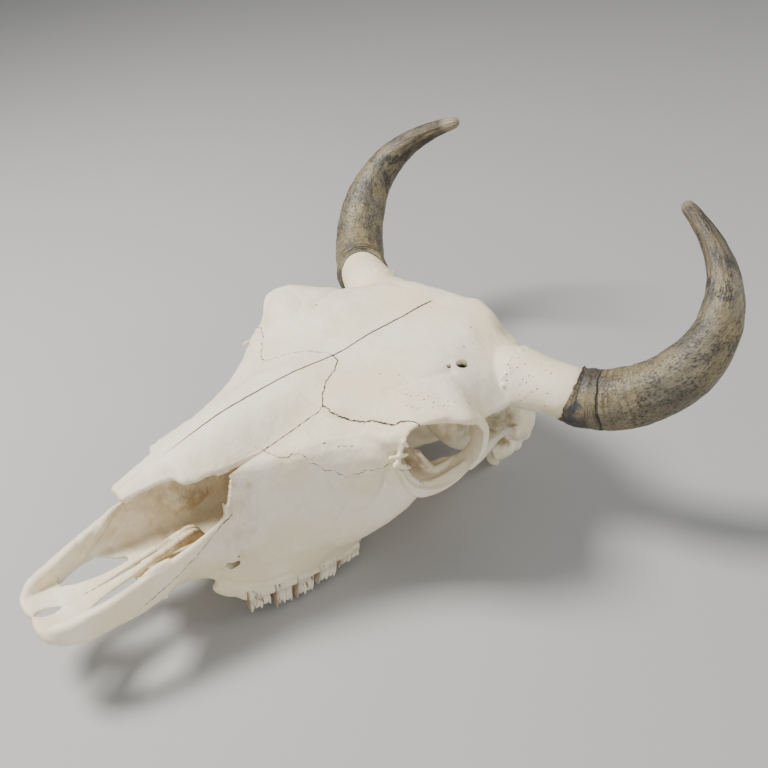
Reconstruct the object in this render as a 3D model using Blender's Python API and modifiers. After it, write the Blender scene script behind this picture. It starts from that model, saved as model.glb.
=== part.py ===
"""A bison cow's skull: weathered bone in its own named bones, with both horn sheaths.

Frame: +X is the animal's left, -Y its nose, +Z up, in metres.  The skull lies on its
last cheek teeth and on the two jugular processes at its back, as it rests on a table.
It is first modelled level, with its palate flat and the tip of the nose near y = 0, in
millimetres; the whole is then tipped nose-up onto its four feet.
"""
import math

import bmesh
import bpy
import numpy as np
from mathutils import Matrix, Vector

COLLECTION = "bison_skull"
CUTTERS = "cutters"
MM = 0.001

# ---- driving dimensions, in millimetres, in the level skull's own frame ------------------
ORBIT_CENTRE = Vector((127, 309, 121))
ORBIT_FACING = Vector((0.949, -0.291, -0.117)).normalized()
ORBIT_RIM = (39, 39.5)
ORBIT_MOUTH = (34, 33.5)
HORN_ROUTE = ((148, 425, 151), (190, 452, 139), (290, 495, 223), (157, 538, 290))
HORN_RADII = (24.6, 25.4, 23.2, 16.5, 7.5)
HORN_STEPS = 13
SOCKET_REACH = 0.1
SOCKET_CLEARANCE = 1.2
NASAL_THICKNESS = 4.6
TOOTH_DROP = 15
TOOTH_ROW = ((163, 178), (179, 195), (196, 217), (218, 242), (243, 267), (267, 283))
SUTURE_GAP = 0.3
WELD_REACH = 0.01
VOXEL = 2.3
TRIANGLES = 3950
REST_TILT = math.radians(10.85)
RESTING_BONES = ("maxilla_left", "occipital")
REST_SHIFT = (0, -299.83, 65.0)
BONE_COLOUR = (0.80, 0.76, 0.66)
BONE_ROUGHNESS = 0.55
HORN_COLOUR = (0.26, 0.23, 0.18)
HORN_ROUGHNESS = 0.5

# Profiles along the skull: (y, value) pairs that a smooth curve joins.
ROOF_Z = ((84, 95), (100, 102), (117, 109), (145, 122), (166, 131), (185, 138), (214, 146),
          (244, 153), (268, 156), (304, 162), (320, 167), (354, 175), (392, 184), (421, 186),
          (438, 174), (452, 150))
NASAL_EDGE_X = ((84, 4), (92, 7), (116, 11), (125, 20), (145, 28), (172, 35), (210, 42), (250, 47))
NASAL_EDGE_Z = ((84, 92), (100, 99), (123, 104), (145, 107), (172, 112), (210, 124), (250, 141))
MUZZLE_TOP_Z = ((82, 6), (105, 26), (126, 46), (145, 64), (164, 80), (174, 88))
MUZZLE_TOP_X = ((82, 46), (105, 48), (126, 49), (145, 50), (164, 51), (174, 52))
MUZZLE_FOOT_X = ((82, 39), (110, 40), (135, 42), (150, 47), (174, 56))
MUZZLE_FOOT_Z = ((82, 4), (110, 10), (135, 11), (147, 5), (155, -4), (163, -12), (174, -14))
SHOULDER_X = ((168, 46), (190, 53), (210, 62), (232, 74), (250, 88), (270, 104), (290, 70))
SHOULDER_Z = ((168, 98), (190, 107), (210, 113), (232, 121), (250, 127), (270, 132), (290, 140))
CHEEK_X = ((168, 52), (190, 59), (210, 67), (232, 78), (250, 90), (270, 100), (290, 58))
CHEEK_Z = ((168, 76), (190, 80), (210, 78), (232, 72), (250, 76), (270, 88), (290, 95))
WALL_X = ((168, 55), (190, 60), (210, 70), (232, 79), (250, 81), (270, 77), (282, 72), (292, 56))
WALL_Z = ((168, 30), (190, 32), (210, 38), (232, 44), (250, 42), (270, 40), (290, 48))
ALVEOLAR_X = ((150, 50), (168, 56), (190, 61), (215, 64), (245, 65), (270, 63), (284, 58), (292, 46))
ALVEOLAR_Z = ((140, -1), (152, -10), (165, -14), (200, -12), (240, -7), (270, -3), (284, 4), (292, 22))
PALATE_Z = ((168, 3), (250, 8), (275, 12), (290, 26))
FRONTAL_X = ((246, 58), (262, 82), (275, 101), (286, 113), (296, 123), (306, 134), (317, 142),
             (328, 141), (338, 131), (350, 117), (362, 106), (375, 99), (388, 97), (400, 100),
             (412, 104), (424, 102), (436, 90), (450, 66))
FRONTAL_EDGE_Z = ((246, 136), (262, 138), (275, 142), (290, 152), (304, 158), (318, 159),
                  (332, 154), (346, 149), (362, 152), (380, 160), (400, 166), (424, 166),
                  (440, 154), (452, 138))
BROW_RISE = ((250, -4), (290, 0), (320, 4), (345, 5), (380, 2), (410, -2), (440, -5))
CAVITY_X = ((50, 30), (84, 38), (105, 43), (126, 44), (165, 46), (190, 52), (215, 55), (240, 52),
            (262, 34))


class Curve:
    """A smooth curve through (y, value) pairs, held level beyond its ends."""

    def __init__(self, pairs):
        self.at = np.array([pair[0] for pair in pairs], float)
        self.value = np.array([pair[1] for pair in pairs], float)
        self.slope = np.gradient(self.value, self.at)

    def __call__(self, y):
        """Value at y, by cubic interpolation between the two nearest pairs."""
        y = min(max(y, self.at[0]), self.at[-1])
        i = min(max(int(np.searchsorted(self.at, y)) - 1, 0), len(self.at) - 2)
        span = self.at[i + 1] - self.at[i]
        u = (y - self.at[i]) / span
        start = (1 + 2 * u) * (1 - u) ** 2 * self.value[i] + u * (1 - u) ** 2 * span * self.slope[i]
        end = u * u * (3 - 2 * u) * self.value[i + 1] - u * u * (1 - u) * span * self.slope[i + 1]
        return float(start + end)


roof_z = Curve(ROOF_Z)
nasal_edge_x = Curve(NASAL_EDGE_X)
nasal_edge_z = Curve(NASAL_EDGE_Z)


# ---- making and joining meshes ------------------------------------------------------------
def clear_scene():
    """Empty the scene and make the collections for the bones and for the cutters."""
    for item in list(bpy.data.objects):
        bpy.data.objects.remove(item, do_unlink=True)
    for name in (COLLECTION, CUTTERS):
        bpy.context.scene.collection.children.link(bpy.data.collections.new(name))


def put_in(item, name):
    """Move an object into one collection and out of all others."""
    for collection in list(item.users_collection):
        collection.objects.unlink(item)
    bpy.data.collections[name].objects.link(item)


def add_object(name, mesh):
    """A new object for a mesh, kept with the cutters until it is a finished bone."""
    item = bpy.data.objects.new(name, mesh)
    bpy.data.collections[CUTTERS].objects.link(item)
    return item


def loft(name, rings):
    """Skin closed rings of (x, y, z) millimetre points, with a flat cap at each end."""
    work = bmesh.new()
    loops = [[work.verts.new(Vector(point) * MM) for point in ring] for ring in rings]
    count = len(loops[0])
    for near, far in zip(loops, loops[1:]):
        for i in range(count):
            j = (i + 1) % count
            work.faces.new((near[i], near[j], far[j], far[i]))
    work.faces.new(list(reversed(loops[0])))
    work.faces.new(loops[-1])
    bmesh.ops.recalc_face_normals(work, faces=work.faces)
    mesh = bpy.data.meshes.new(name)
    work.to_mesh(mesh)
    work.free()
    return add_object(name, mesh)


def mirrored_ring(y, half):
    """A closed ring at y from half an outline of (x, z) points, top to bottom."""
    left = [(x, y, z) for x, z in half]
    right = [(-x, y, z) for x, z in reversed(half) if x > 0.01]
    return left + right


def sweep(name, points, radii, up=(0, 0, 1), sides=14):
    """A bar through the points; radii are (sideways, upward) pairs, one per point."""
    points = [Vector(point) for point in points]
    rings = []
    for i, point in enumerate(points):
        along = (points[min(i + 1, len(points) - 1)] - points[max(i - 1, 0)]).normalized()
        side = along.cross(Vector(up)).normalized()
        rise = side.cross(along).normalized()
        wide, tall = radii[i]
        angles = [2 * math.pi * k / sides for k in range(sides)]
        rings.append([point + side * (wide * math.cos(a)) + rise * (tall * math.sin(a))
                      for a in angles])
    return loft(name, rings)


def ellipsoid(name, centre, radii, turn=0.0):
    """An ellipsoid in millimetres, turned about the upright axis by turn degrees."""
    bpy.ops.mesh.primitive_uv_sphere_add(segments=24, ring_count=14, radius=1)
    item = bpy.context.object
    item.name = name
    place = Matrix.Translation(Vector(centre) * MM) @ Matrix.Rotation(math.radians(turn), 4, "Z")
    item.data.transform(place @ Matrix.Diagonal(Vector(radii) * MM).to_4x4())
    put_in(item, CUTTERS)
    return item


def on_both_sides(items):
    """Add the right-hand mirror image of each left-hand piece; returns all of them."""
    mirrored = []
    for item in items:
        mesh = item.data.copy()
        mesh.transform(Matrix.Diagonal((-1, 1, 1, 1)))
        mesh.flip_normals()
        mirrored.append(add_object(item.name + "_right", mesh))
    return list(items) + mirrored


def join(name, items):
    """Put several closed meshes into one object, overlaps and all."""
    work = bmesh.new()
    for item in items:
        work.from_mesh(item.data)
        bpy.data.objects.remove(item)
    mesh = bpy.data.meshes.new(name)
    work.to_mesh(mesh)
    work.free()
    return add_object(name, mesh)


def apply_modifiers(item):
    """Replace an object's mesh by what its modifiers make of it."""
    depsgraph = bpy.context.evaluated_depsgraph_get()
    mesh = bpy.data.meshes.new_from_object(item.evaluated_get(depsgraph))
    item.modifiers.clear()
    item.data = mesh


def fuse(item, voxel, smoothing=0):
    """Melt overlapping bodies into one skin, then relax it."""
    remesh = item.modifiers.new("fuse", "REMESH")
    remesh.mode = "VOXEL"
    remesh.voxel_size = voxel * MM
    if smoothing:
        relax = item.modifiers.new("relax", "SMOOTH")
        relax.factor = 0.5
        relax.iterations = smoothing
    apply_modifiers(item)


def cut(item, cutter, operation="DIFFERENCE"):
    """Boolean an object with a cutter, and remove the cutter."""
    boolean = item.modifiers.new("cut", "BOOLEAN")
    boolean.operation = operation
    boolean.solver = "EXACT"
    boolean.object = cutter
    apply_modifiers(item)
    bpy.data.objects.remove(cutter)


def thin_out(item, triangles):
    """Reduce a mesh to about the given count of triangles."""
    item.data.calc_loop_triangles()
    decimate = item.modifiers.new("thin", "DECIMATE")
    decimate.ratio = min(1.0, triangles / len(item.data.loop_triangles))
    apply_modifiers(item)


# ---- the bone as one mass -----------------------------------------------------------------
def muzzle():
    """Lower front of the upper jaw: two side walls on the bony palate, filled for now."""
    top_z, top_x = Curve(MUZZLE_TOP_Z), Curve(MUZZLE_TOP_X)
    foot_x, foot_z = Curve(MUZZLE_FOOT_X), Curve(MUZZLE_FOOT_Z)
    rings = []
    for y in (82, 92, 105, 120, 135, 150, 162, 174):
        x, z, fx, fz = top_x(y), top_z(y), foot_x(y), foot_z(y)
        rings.append(mirrored_ring(y, [(0, z), (x - 3, z), (x, z - 3), (0.5 * (x + fx) + 1, 0.5 * (z + fz)),
                                       (fx + 1, fz + 5), (fx - 3, fz), (fx - 16, 7), (0, 8)]))
    return loft("muzzle", rings)


def face():
    """The face from the nasal opening to the front of the eye sockets."""
    curves = [Curve(pairs) for pairs in (SHOULDER_X, SHOULDER_Z, CHEEK_X, CHEEK_Z, WALL_X, WALL_Z,
                                         ALVEOLAR_X, ALVEOLAR_Z, PALATE_Z)]
    rings = []
    for y in (168, 178, 190, 200, 210, 221, 232, 241, 250, 260, 270, 278, 286, 292):
        sx, sz, cx, cz, wx, wz, ax, az, pz = [curve(y) for curve in curves]
        ex, ez = nasal_edge_x(y), nasal_edge_z(y)
        rings.append(mirrored_ring(y, [(0, roof_z(y)), (0.55 * ex, roof_z(y) - 0.3 * (roof_z(y) - ez)),
                                       (ex, ez), (sx, sz), (cx, cz), (wx, wz), (ax, az + 6),
                                       (ax - 3, az), (ax - 22, az + 2), (ax - 30, pz), (0, pz + 2)]))
    return loft("face", rings)


def nasal_plates():
    """The free front of the two nasal bones, an arched roof over the nasal opening."""
    rings = []
    for y in (86, 92, 104, 116, 120, 125, 134, 145, 158, 172, 184):
        ex, ez, top = nasal_edge_x(y), nasal_edge_z(y), roof_z(y)
        outer = [(x * ex, top - (top - ez) * x * x) for x in (-1, -0.8, -0.55, -0.28, 0, 0.28, 0.55, 0.8, 1)]
        inner = [(0.97 * x, z - NASAL_THICKNESS) for x, z in reversed(outer)]
        rings.append([(x, y, z) for x, z in outer + inner])
    return loft("nasal_plates", rings)


def forehead():
    """The frontal roof: broad over the eye sockets, waisted behind them, level at the poll."""
    half_width, edge_z, rise = Curve(FRONTAL_X), Curve(FRONTAL_EDGE_Z), Curve(BROW_RISE)
    rings = []
    for y in (246, 254, 262, 269, 276, 283, 290, 298, 306, 314, 322, 330, 338, 346, 356, 368,
              382, 396, 410, 422, 432, 442, 451):
        w, ez, top = half_width(y), edge_z(y), roof_z(y)
        mid = top + rise(y)
        roof = [(0, top), (0.28 * w, top + 0.4 * rise(y)), (0.52 * w, mid - 0.1 * (top - ez)),
                (0.78 * w, mid - 0.45 * (mid - ez))]
        edge = [(w - 5, ez + 1), (w, ez - 4), (w - 5, ez - 9)]
        underside = [(0.74 * w, ez - 15), (0.5 * w, ez - 24), (0, ez - 30)]
        rings.append(mirrored_ring(y, roof + edge + underside))
    return loft("forehead", rings)


def between_orbits():
    """The narrow bone between the two eye sockets, from the face to the braincase."""
    rings = []
    for y, half, low, high in ((278, 60, 30, 140), (292, 46, 34, 148), (306, 40, 38, 154), (322, 38, 42, 160),
                               (338, 42, 44, 165), (352, 50, 46, 170), (364, 54, 48, 172)):
        rings.append(mirrored_ring(y, [(0, high), (half, high - 6), (half, 0.6 * high + 0.4 * low),
                                       (0.62 * half, 0.3 * high + 0.7 * low), (0.45 * half, low), (0, low)]))
    return loft("between_orbits", rings)


def braincase():
    """The skull's round rear, its flat nape with the two crests, and its base."""
    brain = ellipsoid("brain", (0, 392, 114), (61, 60, 64))
    outline = ((0, 173), (34, 171), (60, 160), (80, 142), (97, 118), (103, 96), (98, 78), (80, 64),
               (58, 56), (34, 50), (0, 48))
    rings = []
    centre_z = 108
    for y, grow, lift in ((398, 0.66, 8), (412, 0.88, 3), (424, 0.99, 0), (434, 1.0, 0),
                          (443, 0.93, -1), (450, 0.76, -2)):
        rings.append(mirrored_ring(y, [(x * grow, centre_z + (z - centre_z) * grow + lift)
                                       for x, z in outline]))
    nape = loft("nape", rings)
    base = sweep("base", ((0, 300, 50), (0, 345, 54), (0, 400, 52), (0, 440, 54), (0, 458, 60)),
                 ((17, 12), (20, 12), (23, 12), (27, 12), (24, 10)))
    return [brain, nape, base]


def orbit_frame():
    """Axes of the left eye socket: out of the mouth, forward and up along its rim."""
    forward = Vector((0, -1, 0))
    forward = (forward - ORBIT_FACING * forward.dot(ORBIT_FACING)).normalized()
    upward = forward.cross(ORBIT_FACING).normalized()
    if upward.z < 0:
        upward = -upward
    return forward, upward


def orbit_tube(name, stages):
    """A round-sectioned tube on the socket's axis; stages are (out, radii, back, up)."""
    forward, upward = orbit_frame()
    rings = []
    for out, (long, tall), back, lift in stages:
        centre = ORBIT_CENTRE + ORBIT_FACING * out - forward * back + upward * lift
        rings.append([centre + forward * (long * math.cos(a)) + upward * (tall * math.sin(a))
                      for a in [2 * math.pi * k / 28 for k in range(28)]])
    return loft(name, rings)


def orbit_wall():
    """The flared rim of the left eye socket, standing out from the side of the skull."""
    return orbit_tube("orbit_wall", ((-46, (46, 34), -4, 2), (-24, (44, 38), -2, 1), (-8, (42, 40), 0, 0),
                                     (0, ORBIT_RIM, 0, 0), (3, (38.5, 37), 0, 0)))


def orbit_hollow():
    """The room inside the left eye socket, narrowing inwards and to the back."""
    return orbit_tube("orbit_hollow", ((14, (40, 38), 0, 0), (2, ORBIT_MOUTH, 0, 0),
                                       (-14, (34, 32), 2, 0), (-40, (30, 29), 6, -1),
                                       (-66, (22, 22), 14, -6), (-86, (12, 12), 24, -12)))


def cheek_arch():
    """The left zygomatic arch, from under the eye to the jaw joint."""
    arch = sweep("cheek_arch", ((125, 316, 89), (128, 336, 95), (122, 362, 97), (113, 384, 95),
                                (104, 404, 94), (96, 420, 97)),
                 ((6, 8), (5.5, 8.5), (4.5, 8), (5, 8.5), (8, 10), (10, 14)))
    under_eye = sweep("under_eye", ((68, 238, 38), (76, 254, 50), (86, 270, 64), (100, 286, 76),
                                    (115, 301, 84), (127, 318, 88)),
                      ((12, 20), (13, 24), (12, 24), (11, 18), (9, 11), (6, 8)))
    joint = ellipsoid("jaw_joint", (85, 400, 77), (23, 13, 11), 8)
    knob = ellipsoid("joint_knob", (74, 411, 68), (13, 6, 12), 10)
    ear = sweep("ear_tube", ((66, 416, 78), (84, 420, 82), (98, 422, 84)), ((9, 9), (8, 8), (7, 7)))
    return [arch, under_eye, joint, knob, ear]


def skull_feet():
    """The left condyle, jugular process and ear bulla, under the back of the skull."""
    condyle = ellipsoid("condyle", (26, 456, 60), (14, 12, 18), -14)
    jugular = sweep("jugular", ((66, 434, 78), (61, 439, 60), (54, 443, 44), (48, 446, 31), (46, 447, 19)),
                    ((13, 15), (11, 13), (8, 11), (6, 9), (5.5, 7.5)), up=(1, 0, 0))
    bulla = ellipsoid("bulla", (43, 398, 44), (10, 17, 17), 12)
    wing = sweep("pterygoid", ((21, 288, 26), (20, 306, 22), (19, 324, 22), (19, 340, 34), (21, 352, 50)),
                 ((3.4, 14), (3.2, 16), (3, 18), (3, 16), (4, 10)))
    return [condyle, jugular, bulla, wing]


def tooth_row():
    """The left cheek teeth: the first is an empty, swollen socket, as on the real skull."""
    alveolar_x, alveolar_z = Curve(ALVEOLAR_X), Curve(ALVEOLAR_Z)
    teeth = []
    for number, (front, back) in enumerate(TOOTH_ROW):
        middle = 0.5 * (front + back)
        outer, gum = alveolar_x(middle) + 0.5, alveolar_z(middle) + 2
        wide = 17 if number < 2 else 21
        drop = TOOTH_DROP
        for lobe in ((front, middle), (middle, back)):
            low, high = lobe[0] + 0.6, lobe[1] - 0.6
            crest = 0.5 * (low + high)
            rings = [[(outer - wide, y, gum + 8), (outer, y, gum + 8), (outer + 1.5, y, gum - 0.3 * drop * s),
                      (outer + 1.0, y, gum - drop * s), (outer - 0.5 * wide, y, gum - 0.8 * drop * s),
                      (outer - wide, y, gum - 0.92 * drop * s)]
                     for y, s in ((low, 0.84), (crest, 1.0), (high, 0.88))]
            teeth.append(loft("tooth", rings))
    teeth.append(ellipsoid("socket_swelling", (49, 158, -6), (8, 13, 8), 10))
    return teeth


def premaxilla():
    """The left incisive bone: its thick tip, its rising blade and its two thin rods."""
    blade = []
    for y, x, low, high, thick in ((14, 29, 0, 12, 10), (28, 37, -3, 19, 9), (44, 41, -3, 27, 7),
                                   (62, 44, 0, 36, 6.5), (84, 47, 3, 47, 6), (104, 49, 18, 57, 5.5),
                                   (126, 50, 40, 66, 5), (146, 51, 61, 74, 4.5), (162, 51, 75, 81, 4)):
        blade.append([(x - thick, y, low + 2), (x - 1.5, y, low), (x, y, low + 4), (x, y, high - 4),
                      (x - 1.5, y, high), (x - thick, y, high - 2)])
    side = loft("blade", blade)
    tip = loft("tip", [[(3, y, 2), (wide, y, 0), (wide + 3, y, 6), (wide, y, 11), (14, y, 9), (3, y, 7)]
                       for y, wide in ((9, 20), (14, 26), (24, 33), (34, 37), (44, 37))])
    rod = sweep("rod", ((12, 34, 5), (9.5, 52, 6), (6, 72, 7.5), (4.5, 100, 11), (4, 125, 15),
                        (3.8, 146, 19)),
                ((9, 3.4), (7, 3.2), (6.6, 3.4), (5.4, 3.6), (4.8, 3.8), (4.4, 3.6)))
    return [side, tip, rod]


def horn_route(t):
    """Centre of the left horn at t from 0 at its ring to 1 near its tip."""
    a, b, c, d = [Vector(point) for point in HORN_ROUTE]
    s = 1 - t
    return a * s ** 3 + b * (3 * s * s * t) + c * (3 * s * t * t) + d * t ** 3


def horn_radius(t):
    """Radius of the horn sheath at t."""
    return float(np.interp(t, np.linspace(0, 1, len(HORN_RADII)), HORN_RADII))


def horn_core(extra=0.0):
    """The left bony horn core, from the forehead into the sheath."""
    points = [(70, 402, 150), (98, 408, 150), (118, 414, 150.5), (134, 419.5, 151)]
    radii = [20 + extra, 25 + extra, 24 + extra, 23 + extra]
    for t in (0.0, 0.5 * SOCKET_REACH, SOCKET_REACH):
        points.append(horn_route(t))
        radii.append(22.4 - 26 * t + extra)
    return sweep("horn_core", points, [(r, r) for r in radii], sides=14)


def build_bone_mass():
    """Every bone melted into one body, with its hollows cut out."""
    left = [orbit_wall(), horn_core()] + cheek_arch() + skull_feet() + tooth_row() + premaxilla()
    middle = [muzzle(), face(), nasal_plates(), forehead(), between_orbits()] + braincase()
    mass = join("bone_mass", middle + on_both_sides(left))
    fuse(mass, VOXEL, 3)
    paired = on_both_sides([orbit_hollow(), temple_hollow(), cheek_hollow(), palate_slot(), face_canal()])
    hollows = join("hollows", [nasal_cavity(), choana(), spine_hole()] + paired)
    fuse(hollows, VOXEL, 1)
    cut(mass, hollows)
    fuse(mass, 0.8 * VOXEL, 2)
    return mass


# ---- the hollows ----------------------------------------------------------------------------
def nasal_cavity():
    """The nose's inside, open at the front, under the arched nasal bones."""
    half = Curve(CAVITY_X)
    rings = []
    for y in (30, 50, 68, 84, 96, 105, 116, 126, 140, 152, 165, 172, 180, 190, 205, 220, 240, 256, 264):
        x = half(y)
        ex, ez, top = nasal_edge_x(y), nasal_edge_z(y), roof_z(y)
        t = NASAL_THICKNESS
        shoulder = 84 if y < 170 else ez - 17
        ceiling = [(0, top - t), (0.55 * ex, top - 0.3 * (top - ez) - t), (ex, ez - t - 0.6)]
        wall = [(max(x - 4, ex + 1), shoulder), (x, shoulder - 22), (x, 24), (0.8 * x, 13)]
        rings.append(mirrored_ring(y, ceiling + wall + [(0, 14)]))
    return loft("nasal_cavity", rings)


def palate_slot():
    """The left palatine fissure, a long slot through the roof of the mouth."""
    return sweep("palate_slot", ((22, 46, 8), (25, 62, 8), (25, 84, 9), (20, 108, 10)),
                 ((3, 16), (7, 16), (7.5, 16), (2.5, 16)), sides=12)


def choana():
    """The inner nostrils, open under the back of the palate."""
    return sweep("choana", ((0, 262, 34), (0, 290, 26), (0, 318, 22), (0, 352, 20)),
                 ((13, 12), (15, 20), (15.5, 21), (16, 22)))


def spine_hole():
    """The foramen magnum, where the spinal cord leaves the skull."""
    return ellipsoid("spine_hole", (0, 462, 82), (17, 26, 16))


def temple_hollow():
    """The left temple's hollow, between the braincase and the cheek arch."""
    return ellipsoid("temple_hollow", (87, 366, 112), (29, 43, 30), -12)


def cheek_hollow():
    """The open room under the left eye socket, behind the tooth row."""
    return ellipsoid("cheek_hollow", (80, 350, 68), (32, 50, 34), -14)


def face_canal():
    """The left infraorbital canal, opening on the cheek above the first teeth."""
    return sweep("face_canal", ((62, 148, 28), (50, 168, 27), (44, 184, 27)), ((4, 5.5), (3.5, 4.5), (2, 2)))


# ---- parting the bones ----------------------------------------------------------------------
def prism(name, outline, axis, low, high, grow=0.0):
    """A straight-sided block: a flat outline, pushed out by grow, drawn along an axis."""
    points = [Vector(point) for point in outline]
    area = sum(a.x * b.y - b.x * a.y for a, b in zip(points, points[1:] + points[:1]))
    turn = 1 if area > 0 else -1
    moved = []
    for before, here, after in zip(points[-1:] + points[:-1], points, points[1:] + points[:1]):
        first, second = (here - before).normalized(), (after - here).normalized()
        out_first, out_second = Vector((first.y, -first.x)) * turn, Vector((second.y, -second.x)) * turn
        corner = (out_first + out_second).normalized()
        moved.append(here + corner * (grow / max(0.35, corner.dot(out_first))))
    place = {"X": lambda p, d: (d, p.x, p.y), "Z": lambda p, d: (p.x, p.y, d)}[axis]
    return loft(name, [[place(p, low - grow) for p in moved], [place(p, high + grow) for p in moved]])


def united(name, blocks):
    """The union of a few simple blocks, as one closed body."""
    first = blocks[0]
    for block in blocks[1:]:
        cut(first, block, "UNION")
    first.name = name
    return first


def largest_body(item):
    """Drop crumbs: keep only the largest loose body of an object."""
    work = bmesh.new()
    work.from_mesh(item.data)
    seen, bodies = set(), []
    for start in work.verts:
        if start in seen:
            continue
        stack, body = [start], []
        seen.add(start)
        while stack:
            vert = stack.pop()
            body.append(vert)
            for edge in vert.link_edges:
                other = edge.other_vert(vert)
                if other not in seen:
                    seen.add(other)
                    stack.append(other)
        bodies.append(body)
    bodies.sort(key=len)
    bmesh.ops.delete(work, geom=[vert for body in bodies[:-1] for vert in body], context="VERTS")
    work.to_mesh(item.data)
    work.free()


def weld(item):
    """Merge the specks that a cut can leave."""
    work = bmesh.new()
    work.from_mesh(item.data)
    bmesh.ops.triangulate(work, faces=work.faces)
    bmesh.ops.remove_doubles(work, verts=work.verts, dist=WELD_REACH * MM)
    work.to_mesh(item.data)
    work.free()


def make_symmetric(item):
    """Make the right half of a middle bone the mirror image of its left half."""
    work = bmesh.new()
    work.from_mesh(item.data)
    everything = list(work.verts) + list(work.edges) + list(work.faces)
    bmesh.ops.symmetrize(work, input=everything, direction="X", dist=WELD_REACH * MM)
    work.to_mesh(item.data)
    work.free()


def part_off(rest, name, territory):
    """Take the bone inside a territory off the rest, with a suture's gap between them."""
    bone = add_object(name, rest.data.copy())
    cut(bone, territory(0.0), "INTERSECT")
    cut(rest, territory(SUTURE_GAP))
    largest_body(bone)
    return bone


def cranium_territory(grow):
    """Everything behind the temples and below the frontal roof."""
    middle = ((365, -80), (365, 122), (398, 130), (420, 147), (427, 168), (428, 260), (560, 260), (560, -80))
    flanks = ((365, -80), (365, 112), (560, 112), (560, -80))
    return united("cranium_territory", [prism("middle", middle, "X", -90, 90, grow),
                                        prism("flanks", flanks, "X", -170, 170, grow)])


def occipital_territory(grow):
    """The nape with the condyles and jugular processes."""
    outline = ((431, 260), (431, 66), (419, 50), (419, -80), (560, -80), (560, 260))
    return prism("occipital_territory", outline, "X", -180, 180, grow)


def temporal_territory(grow):
    """The left jaw joint, ear and the rear half of the cheek arch."""
    return prism("temporal_territory", ((360, -80), (360, 116), (440, 116), (440, -80)), "X", 64, 180, grow)


def midline_territory(grow):
    """The left half of the skull."""
    return prism("midline_territory", ((-40, -90), (-40, 260), (560, 260), (560, -90)), "X",
                 0.5 * SUTURE_GAP, 200, grow)


def premaxilla_territory(grow):
    """In front of the suture that climbs the muzzle, and the rod beside the midline."""
    blade = ((-40, -60), (-40, 86), (158, 86), (166, 82), (164, 78), (145.4, 60), (126.5, 39), (105.5, 17.6),
             (85, 3), (83, -60))
    rod_side = ((20, 10.5), (20, 60), (149, 60), (149, 10.5))
    return united("premaxilla_territory", [prism("front", blade, "X", 0, 90, grow),
                                           prism("rod_side", rod_side, "X", 0, 10, grow)])


FRONTAL_FRONT = ((0, 289), (10, 286), (18, 275), (28, 262), (38, 254), (46, 248), (66, 256), (88, 274),
                 (112, 287), (175, 296))


def frontal_territory(grow):
    """Behind the sutures with the nasal and lacrimal bones, down to the inner eye socket."""
    roof = FRONTAL_FRONT + ((175, 480), (-5, 480), (-5, 289))
    inner = ((289, 62), (289, 150), (480, 150), (480, 62))
    return united("frontal_territory", [prism("roof", roof, "Z", 113, 260, grow),
                                        prism("inner", inner, "X", -5, 66, grow)])


def nasal_territory(grow):
    """Between the midline and the long suture with the lacrimal bone and the maxilla."""
    outline = FRONTAL_FRONT[:6] + ((44, 230), (41, 205), (38, 188), (35, 168), (62, 140), (62, 60),
                                   (-5, 60), (-5, 289))
    return prism("nasal_territory", outline, "Z", 82, 260, grow)


LACRIMAL_FOOT = ((190, 121), (194.5, 118.5), (203.5, 114.4), (217.5, 117), (229.5, 105), (247.7, 94.2),
                 (260, 103), (271.5, 110), (282.5, 106), (300, 97))


def lacrimal_territory(grow):
    """Above the jagged suture that runs from the nasal bone to the eye socket's front."""
    return prism("lacrimal_territory", LACRIMAL_FOOT + ((300, 220), (186, 220)), "X", 20, 200, grow)


def zygomatic_territory(grow):
    """Cheekbone: the lower rim of the eye socket and the front half of the cheek arch."""
    outline = ((247.7, 99), (245, 77), (237, 50), (230, 34), (252, 40), (276, 52), (296, 62), (380, 62),
               (380, 125), (300, 125))
    return prism("zygomatic_territory", outline, "X", 60, 200, grow)


def palatine_territory(grow):
    """The rear of the bony palate and the wing beside the inner nostril."""
    return prism("palatine_territory", ((262, -40), (262, 66), (420, 66), (420, -40)), "X", -5, 38, grow)


def to_rest(item):
    """Tip a level body nose-up about the left-right axis and set it on its feet."""
    move = Matrix.Translation(Vector(REST_SHIFT) * MM) @ Matrix.Rotation(-REST_TILT, 4, "X")
    item.data.transform(move)


def mirror_of(item, name):
    """The right-hand twin of a finished left-hand piece."""
    twin = on_both_sides([item])[1]
    twin.name = name
    twin.data.name = name
    return twin


def horn_sheath():
    """The left horn: a hollow-based horny sheath that curves out, back and up to its tip."""
    points, radii = [], []
    for step in range(HORN_STEPS):
        t = step / (HORN_STEPS - 1)
        points.append(horn_route(t))
        radii.append(horn_radius(t))
    along = (points[-1] - points[-2]).normalized()
    for reach, share in ((3.5, 0.82), (6, 0.5), (7, 0.2)):
        points.append(horn_route(1) + along * reach)
        radii.append(horn_radius(1) * share)
    sheath = sweep("horn_sheath_left", points, [(r, r) for r in radii], sides=14)
    cut(sheath, horn_core(SOCKET_CLEARANCE))
    return sheath


def part_cranium(rest):
    """The rear of the skull: occipital, the two temporals and the braincase."""
    braincase = part_off(rest, "braincase", cranium_territory)
    occipital = part_off(braincase, "occipital", occipital_territory)
    temporal = part_off(braincase, "temporal_left", temporal_territory)
    cut(braincase, on_both_sides([temporal_territory(SUTURE_GAP)])[1])
    bpy.data.objects.remove(bpy.data.objects["temporal_territory"])
    largest_body(braincase)
    return [braincase, occipital], temporal


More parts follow.
